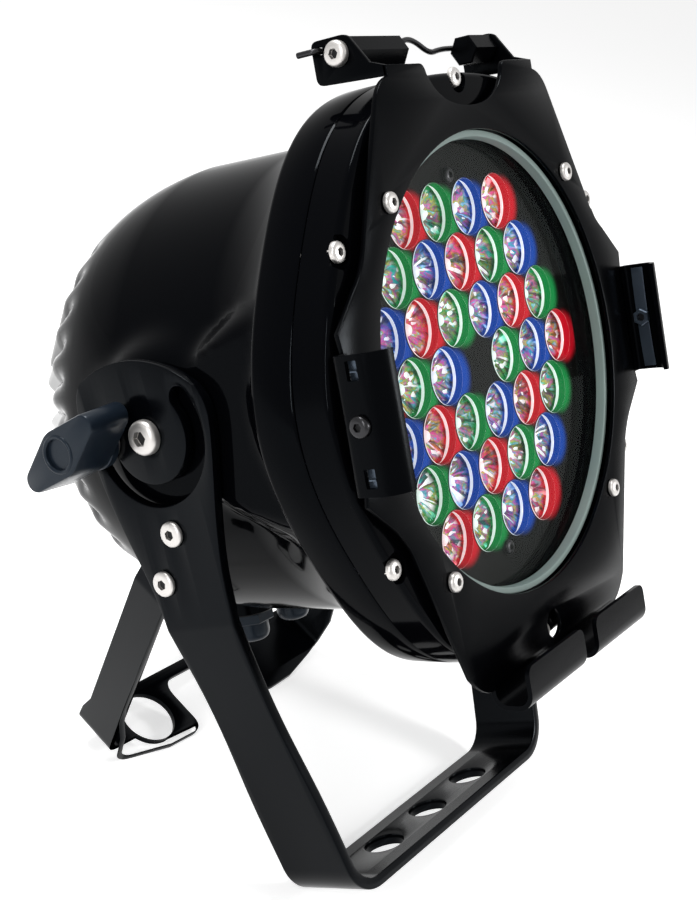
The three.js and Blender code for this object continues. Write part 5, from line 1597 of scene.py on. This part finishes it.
@dataclass
class Stands:
    """The front stand with its slots and clamp holes, and the rear stand with its notched foot."""

    front: BentStrap = field(default_factory=lambda: BentStrap(113, -209.5, 20, -78.5, math.radians(13.2), 5))
    rear: BentStrap = field(default_factory=lambda: BentStrap(107.7, -176, 9, -60.7, math.radians(13.9), 3))

    def front_side(self) -> tuple[list[Point], list[Point]]:
        """Front and rear edge of one arm, as (height, place across), from the foot up.

        Returns:
            The two lines.
        """
        rear: list[Point] = [(-176.5, 17.5)]
        rear += self.swap((17.5, -176.5), [(17.5, -150), (15.3, -140)], (15.3, -118), 8)
        rear += self.swap((15.3, -118), [(15.3, -100), (17.5, -88)], (18.6, -72), 6)
        rear += self.swap((18.6, -72), [(20, -55), (28, -38)], (31.2, -16), 10)
        rear += [(8, 34)]
        rear += self.swap((34, 8), [(35.5, 22)], (28, 26.8), 6)
        rear += [(y, x) for x, y in arc((7.2, -20.2), 51.3, 66, 136, 20)]
        front: list[Point] = [(-176.5, -17.5)]
        front += self.swap((-17.5, -176.5), [(-17.5, -150), (-15.3, -140)], (-15.3, -118), 8)
        front += self.swap((-15.3, -118), [(-15.3, -100), (-17, -85)], (-18.2, -64), 6)
        front += self.swap((-18.2, -64), [(-19.5, -42), (-31.5, -12)], (-33.2, 3), 10)
        front += self.swap((-33.2, 3), [(-33.5, 11)], (-29.7, 15.4), 4)
        return front, rear

    def swap(self, start: Point, handles: Sequence[Point], stop: Point, steps: int) -> list[Point]:
        """A curve given as (across, height), returned as (height, across)."""
        return [(b, a) for a, b in curve_points(start, handles, stop, steps)]

    def slot(self) -> list[Point]:
        """The curved slot, as (height, place across).

        Returns:
            Its outline.
        """
        outline = arc((0, 0), 28.5, 150, 382, 40)
        outline += arc((24 * math.cos(math.radians(22)), 24 * math.sin(math.radians(22))), 4.5, 22, 202, 8)[1:]
        outline += arc((0, 0), 19.5, 382, 150, 34)[1:]
        outline += arc((24 * math.cos(math.radians(150)), 24 * math.sin(math.radians(150))), 4.5, 330, 510, 8)[1:-1]
        return [(b, a) for a, b in outline]

    def build(self, shop: Workshop) -> None:
        """Makes both stands.

        Args:
            shop: The workshop.
        """
        strap = self.front
        front, rear = self.front_side()
        right = [(strap.length_at(h), a) for h, a in front] + [(strap.length_at(h), a) for h, a in reversed(rear)]
        left = [(-s, a) for s, a in reversed(right)]
        holes: list[list[Point]] = [circle(37.2 * k, 0, 9, 40) for k in (-1, 0, 1)]
        for sign in (-1, 1):
            holes.append([(sign * strap.length_at(h), a) for h, a in self.slot()])
            holes.append([(sign * strap.length_at(h), a) for h, a in circle(0, 0, 4.3, 20)])
            holes += [circle(sign * strap.length_at(h), a, 2.8, 16) for a, h in brace_places()]
        shape = strap.bent(right + left, holes, 0.7)
        shop.piece("front_strap", shape, shop.frames.stand, STAND.material(), "stand", ["front_stand"], 32)
        self.build_rear(shop)

    def build_rear(self, shop: Workshop) -> None:
        """Makes the rear stand: two arms and a foot whose two tongues reach forward.

        Args:
            shop: The workshop.
        """
        strap = self.rear
        top = strap.length_at(-19)
        arm: list[Point] = [(48, -54.8), (69, -50), (77, -48), (strap.length_at(-158), -46)]
        arm += [(strap.length_at(-150), -42.5), (strap.length_at(-140), -41.5), (top - 14, -41.5)]
        arm += curve_points((top - 14, -41.5), [(top - 3, -41.5)], (top, -32.5), 6)
        arm += [(top, -30.6)]
        arm += curve_points((top, -30.6), [(top, -22.6)], (top - 8, -22.6), 6)
        arm += [(strap.length_at(-154), -22.6), (strap.length_at(-163), -20), (66, -18.4)]
        tongue = [(25, -33.5), (25, -48.4)] + curve_points((25, -48.4), [(25, -55.4)], (32, -55.4), 6)
        right = tongue + arm
        notch = curve_points((-25, -33.5), [(-25, -24.5)], (-16, -24.5), 6)
        notch += [(16, -24.5)] + curve_points((16, -24.5), [(25, -24.5)], (25, -33.5), 6)
        left = [(-s, a) for s, a in reversed(right)]
        outline = left + notch[:-1] + right
        holes = [circle(-47.2, -36.8, 13.5, 48)]
        for sign in (-1, 1):
            holes += [circle(sign * strap.length_at(-t), -c, 2.8, 16) for t, c in BRACE_SCREWS]
        shape = strap.bent(outline, holes, 0.5)
        shop.piece("rear_strap", shape, shop.frames.brace, STAND.material(), "stand", ["rear_stand"], 32)


@dataclass
class CableGlands:
    """The two cable glands under the body."""

    def build(self, shop: Workshop) -> None:
        """Makes both glands.

        Args:
            shop: The workshop.
        """
        head, plastic, gloss = shop.frames.head, PLASTIC.material(), GLOSS.material()
        for name, x in (("power_gland", -16), ("signal_gland", 16)):
            nut = spun([(0, 1.3), (10.5, 1.3), (11, 1.8), (11, 5.8), (10.5, 6.3), (0, 6.3)], 6)
            top = curve_points((8, 11), [(7.6, 14.6)], (5.2, 15.3), 5)
            dome = spun([(3.4, 5), (8, 5), (8, 11), *top, (3.4, 15.3)], 40, closed=True)
            pad = spun([(0, -6), (13, -6), (13, 0.4), (12.4, 1), (0, 1)], 40)
            where = place(x, -102, -136) @ Matrix.Rotation(math.pi / 2, 4, "X")
            shop.piece(f"{name}_piece", moved(merged([nut, dome]), where), head, plastic, "head", [name])
            shop.piece(f"{name}_pad", moved(pad, where), head, gloss, "head")


# Studio


@dataclass
class Studio:
    """The camera, the pale floor and the soft lights."""

    frames: Frames
    dim: float = 0.3
    floor_glow: float = 0.62
    floor_drop: float = 0.0005

    def camera(self) -> None:
        """Sets the camera as it stood to the head."""
        head = self.frames.head
        place_at = head @ Vector((-529, 71, 313))
        turn = head.to_3x3().normalized()
        right = turn @ Vector((0.558, -0.175, 0.811)).normalized()
        back = turn @ Vector((-0.797, 0.156, 0.583)).normalized()
        up = back.cross(right).normalized()
        right = up.cross(back).normalized()
        data = bpy.data.cameras.new("studio_camera")
        data.sensor_fit = "VERTICAL"
        data.sensor_height = 36
        data.lens = 59.08
        data.clip_start = 0.01
        camera = bpy.data.objects.new("studio_camera", data)
        bpy.context.scene.collection.objects.link(camera)
        basis = Matrix((right, up, back)).transposed().to_4x4()
        camera.matrix_world = Matrix.Translation(place_at) @ basis
        bpy.context.scene.camera = camera
        LOG.info("camera at %s", tuple(round(v, 4) for v in place_at))

    def soft_light(self, name: str, place_at: Sequence[float], aim: Sequence[float], size: Point, power: float) -> None:
        """Adds a soft rectangular lamp.

        Args:
            name: Its name.
            place_at: Its place in metres.
            aim: The point it faces.
            size: Its two sides in metres.
            power: Its power in watts.
        """
        data = bpy.data.lights.new(name, "AREA")
        data.shape = "RECTANGLE"
        data.size, data.size_y = size
        data.energy = power
        lamp = bpy.data.objects.new(name, data)
        bpy.context.scene.collection.objects.link(lamp)
        towards = Vector(aim) - Vector(place_at)
        turn = towards.to_track_quat("-Z", "Y").to_matrix().to_4x4()
        lamp.matrix_world = Matrix.Translation(Vector(place_at)) @ turn

    def world(self) -> None:
        """A pale surround for what looks at it, and a dim even light for the rest."""
        world = bpy.data.worlds.new("studio")
        bpy.context.scene.world = world
        world.use_nodes = True
        graph = Graph(world.node_tree)
        dim = graph.tree.nodes["Background"]
        graph.feed(dim, {"Color": (1, 1, 1, 1), "Strength": self.dim})
        pale = graph.add("Background", {"Color": (0.8, 0.8, 0.8, 1), "Strength": 1.0})
        final = graph.add("MixShader", {"Fac": graph.looks(), 1: dim.outputs[0], 2: pale.outputs[0]})
        graph.feed(graph.tree.nodes["World Output"], {"Surface": final.outputs["Shader"]})

    def floor(self) -> None:
        """A wide pale floor just under the light."""
        shape = bmesh.new()
        bmesh.ops.create_grid(shape, x_segments=1, y_segments=1, size=6)
        mesh = bpy.data.meshes.new("studio_floor")
        shape.to_mesh(mesh)
        shape.free()
        material, graph = Graph.fresh("pale_floor")
        graph.surface(
            {
                "Base Color": (0.92, 0.92, 0.92, 1),
                "Roughness": 0.9,
                "Specular IOR Level": 0.0,
                "Emission Color": (1, 1, 1, 1),
                "Emission Strength": graph.maths("MULTIPLY", graph.looks(), self.floor_glow),
            }
        )
        mesh.materials.append(material)
        floor = bpy.data.objects.new("studio_floor", mesh)
        floor.location.z = -self.floor_drop
        bpy.context.scene.collection.objects.link(floor)

    def build(self) -> None:
        """Makes the whole studio."""
        self.camera()
        self.world()
        self.floor()
        self.soft_light("top_softbox", (-0.1, 0.55, 1.35), (0, 0.05, 0.2), (0.6, 0.3), 16)
        self.soft_light("left_strip", (-1.2, -0.15, 0.75), (0, 0, 0.2), (0.07, 0.9), 7)
        self.soft_light("front_softbox", (0.7, -1.2, 0.75), (0, 0, 0.2), (0.3, 0.3), 10)
        bpy.context.scene.view_settings.view_transform = "Standard"


def main() -> None:
    """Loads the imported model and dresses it."""
    logging.basicConfig(level=logging.INFO, format="%(name)s: %(message)s")
    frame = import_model()
    tilt = next(joint for joint in frame["joints"] if joint["name"] == "head_tilt")
    frames = Frames.at(tilt["pos_m"])
    shop = Workshop(frames)
    Studio(frames).build()
    body = CastBody()
    body.build(shop)
    FrontGlass().build(shop)
    LampField().build(shop)
    FrontPlate().build(shop)
    FrameSprings().build(shop)
    Fasteners().build(shop, body)
    FrameLatch().build(shop)
    WingKnob().build(shop)
    Stands().build(shop)
    CableGlands().build(shop)
    nodes = frame["nodes"]
    shop.dress(nodes, ["heat_sink"], ALUMINIUM)
    shop.dress(nodes, ["driver_board"], BOARD)
    shop.dress(nodes, ["power_supply"], CASE)
    shop.dress(nodes, ["pivot_washer_left", "pivot_washer_right"], FIBRE)
    shop.dress(nodes, ["clamp_stud_left", "clamp_stud_right"], STEEL)
    LOG.info("%d pieces made", len(shop.made))


if __name__ == "__main__":
    main()
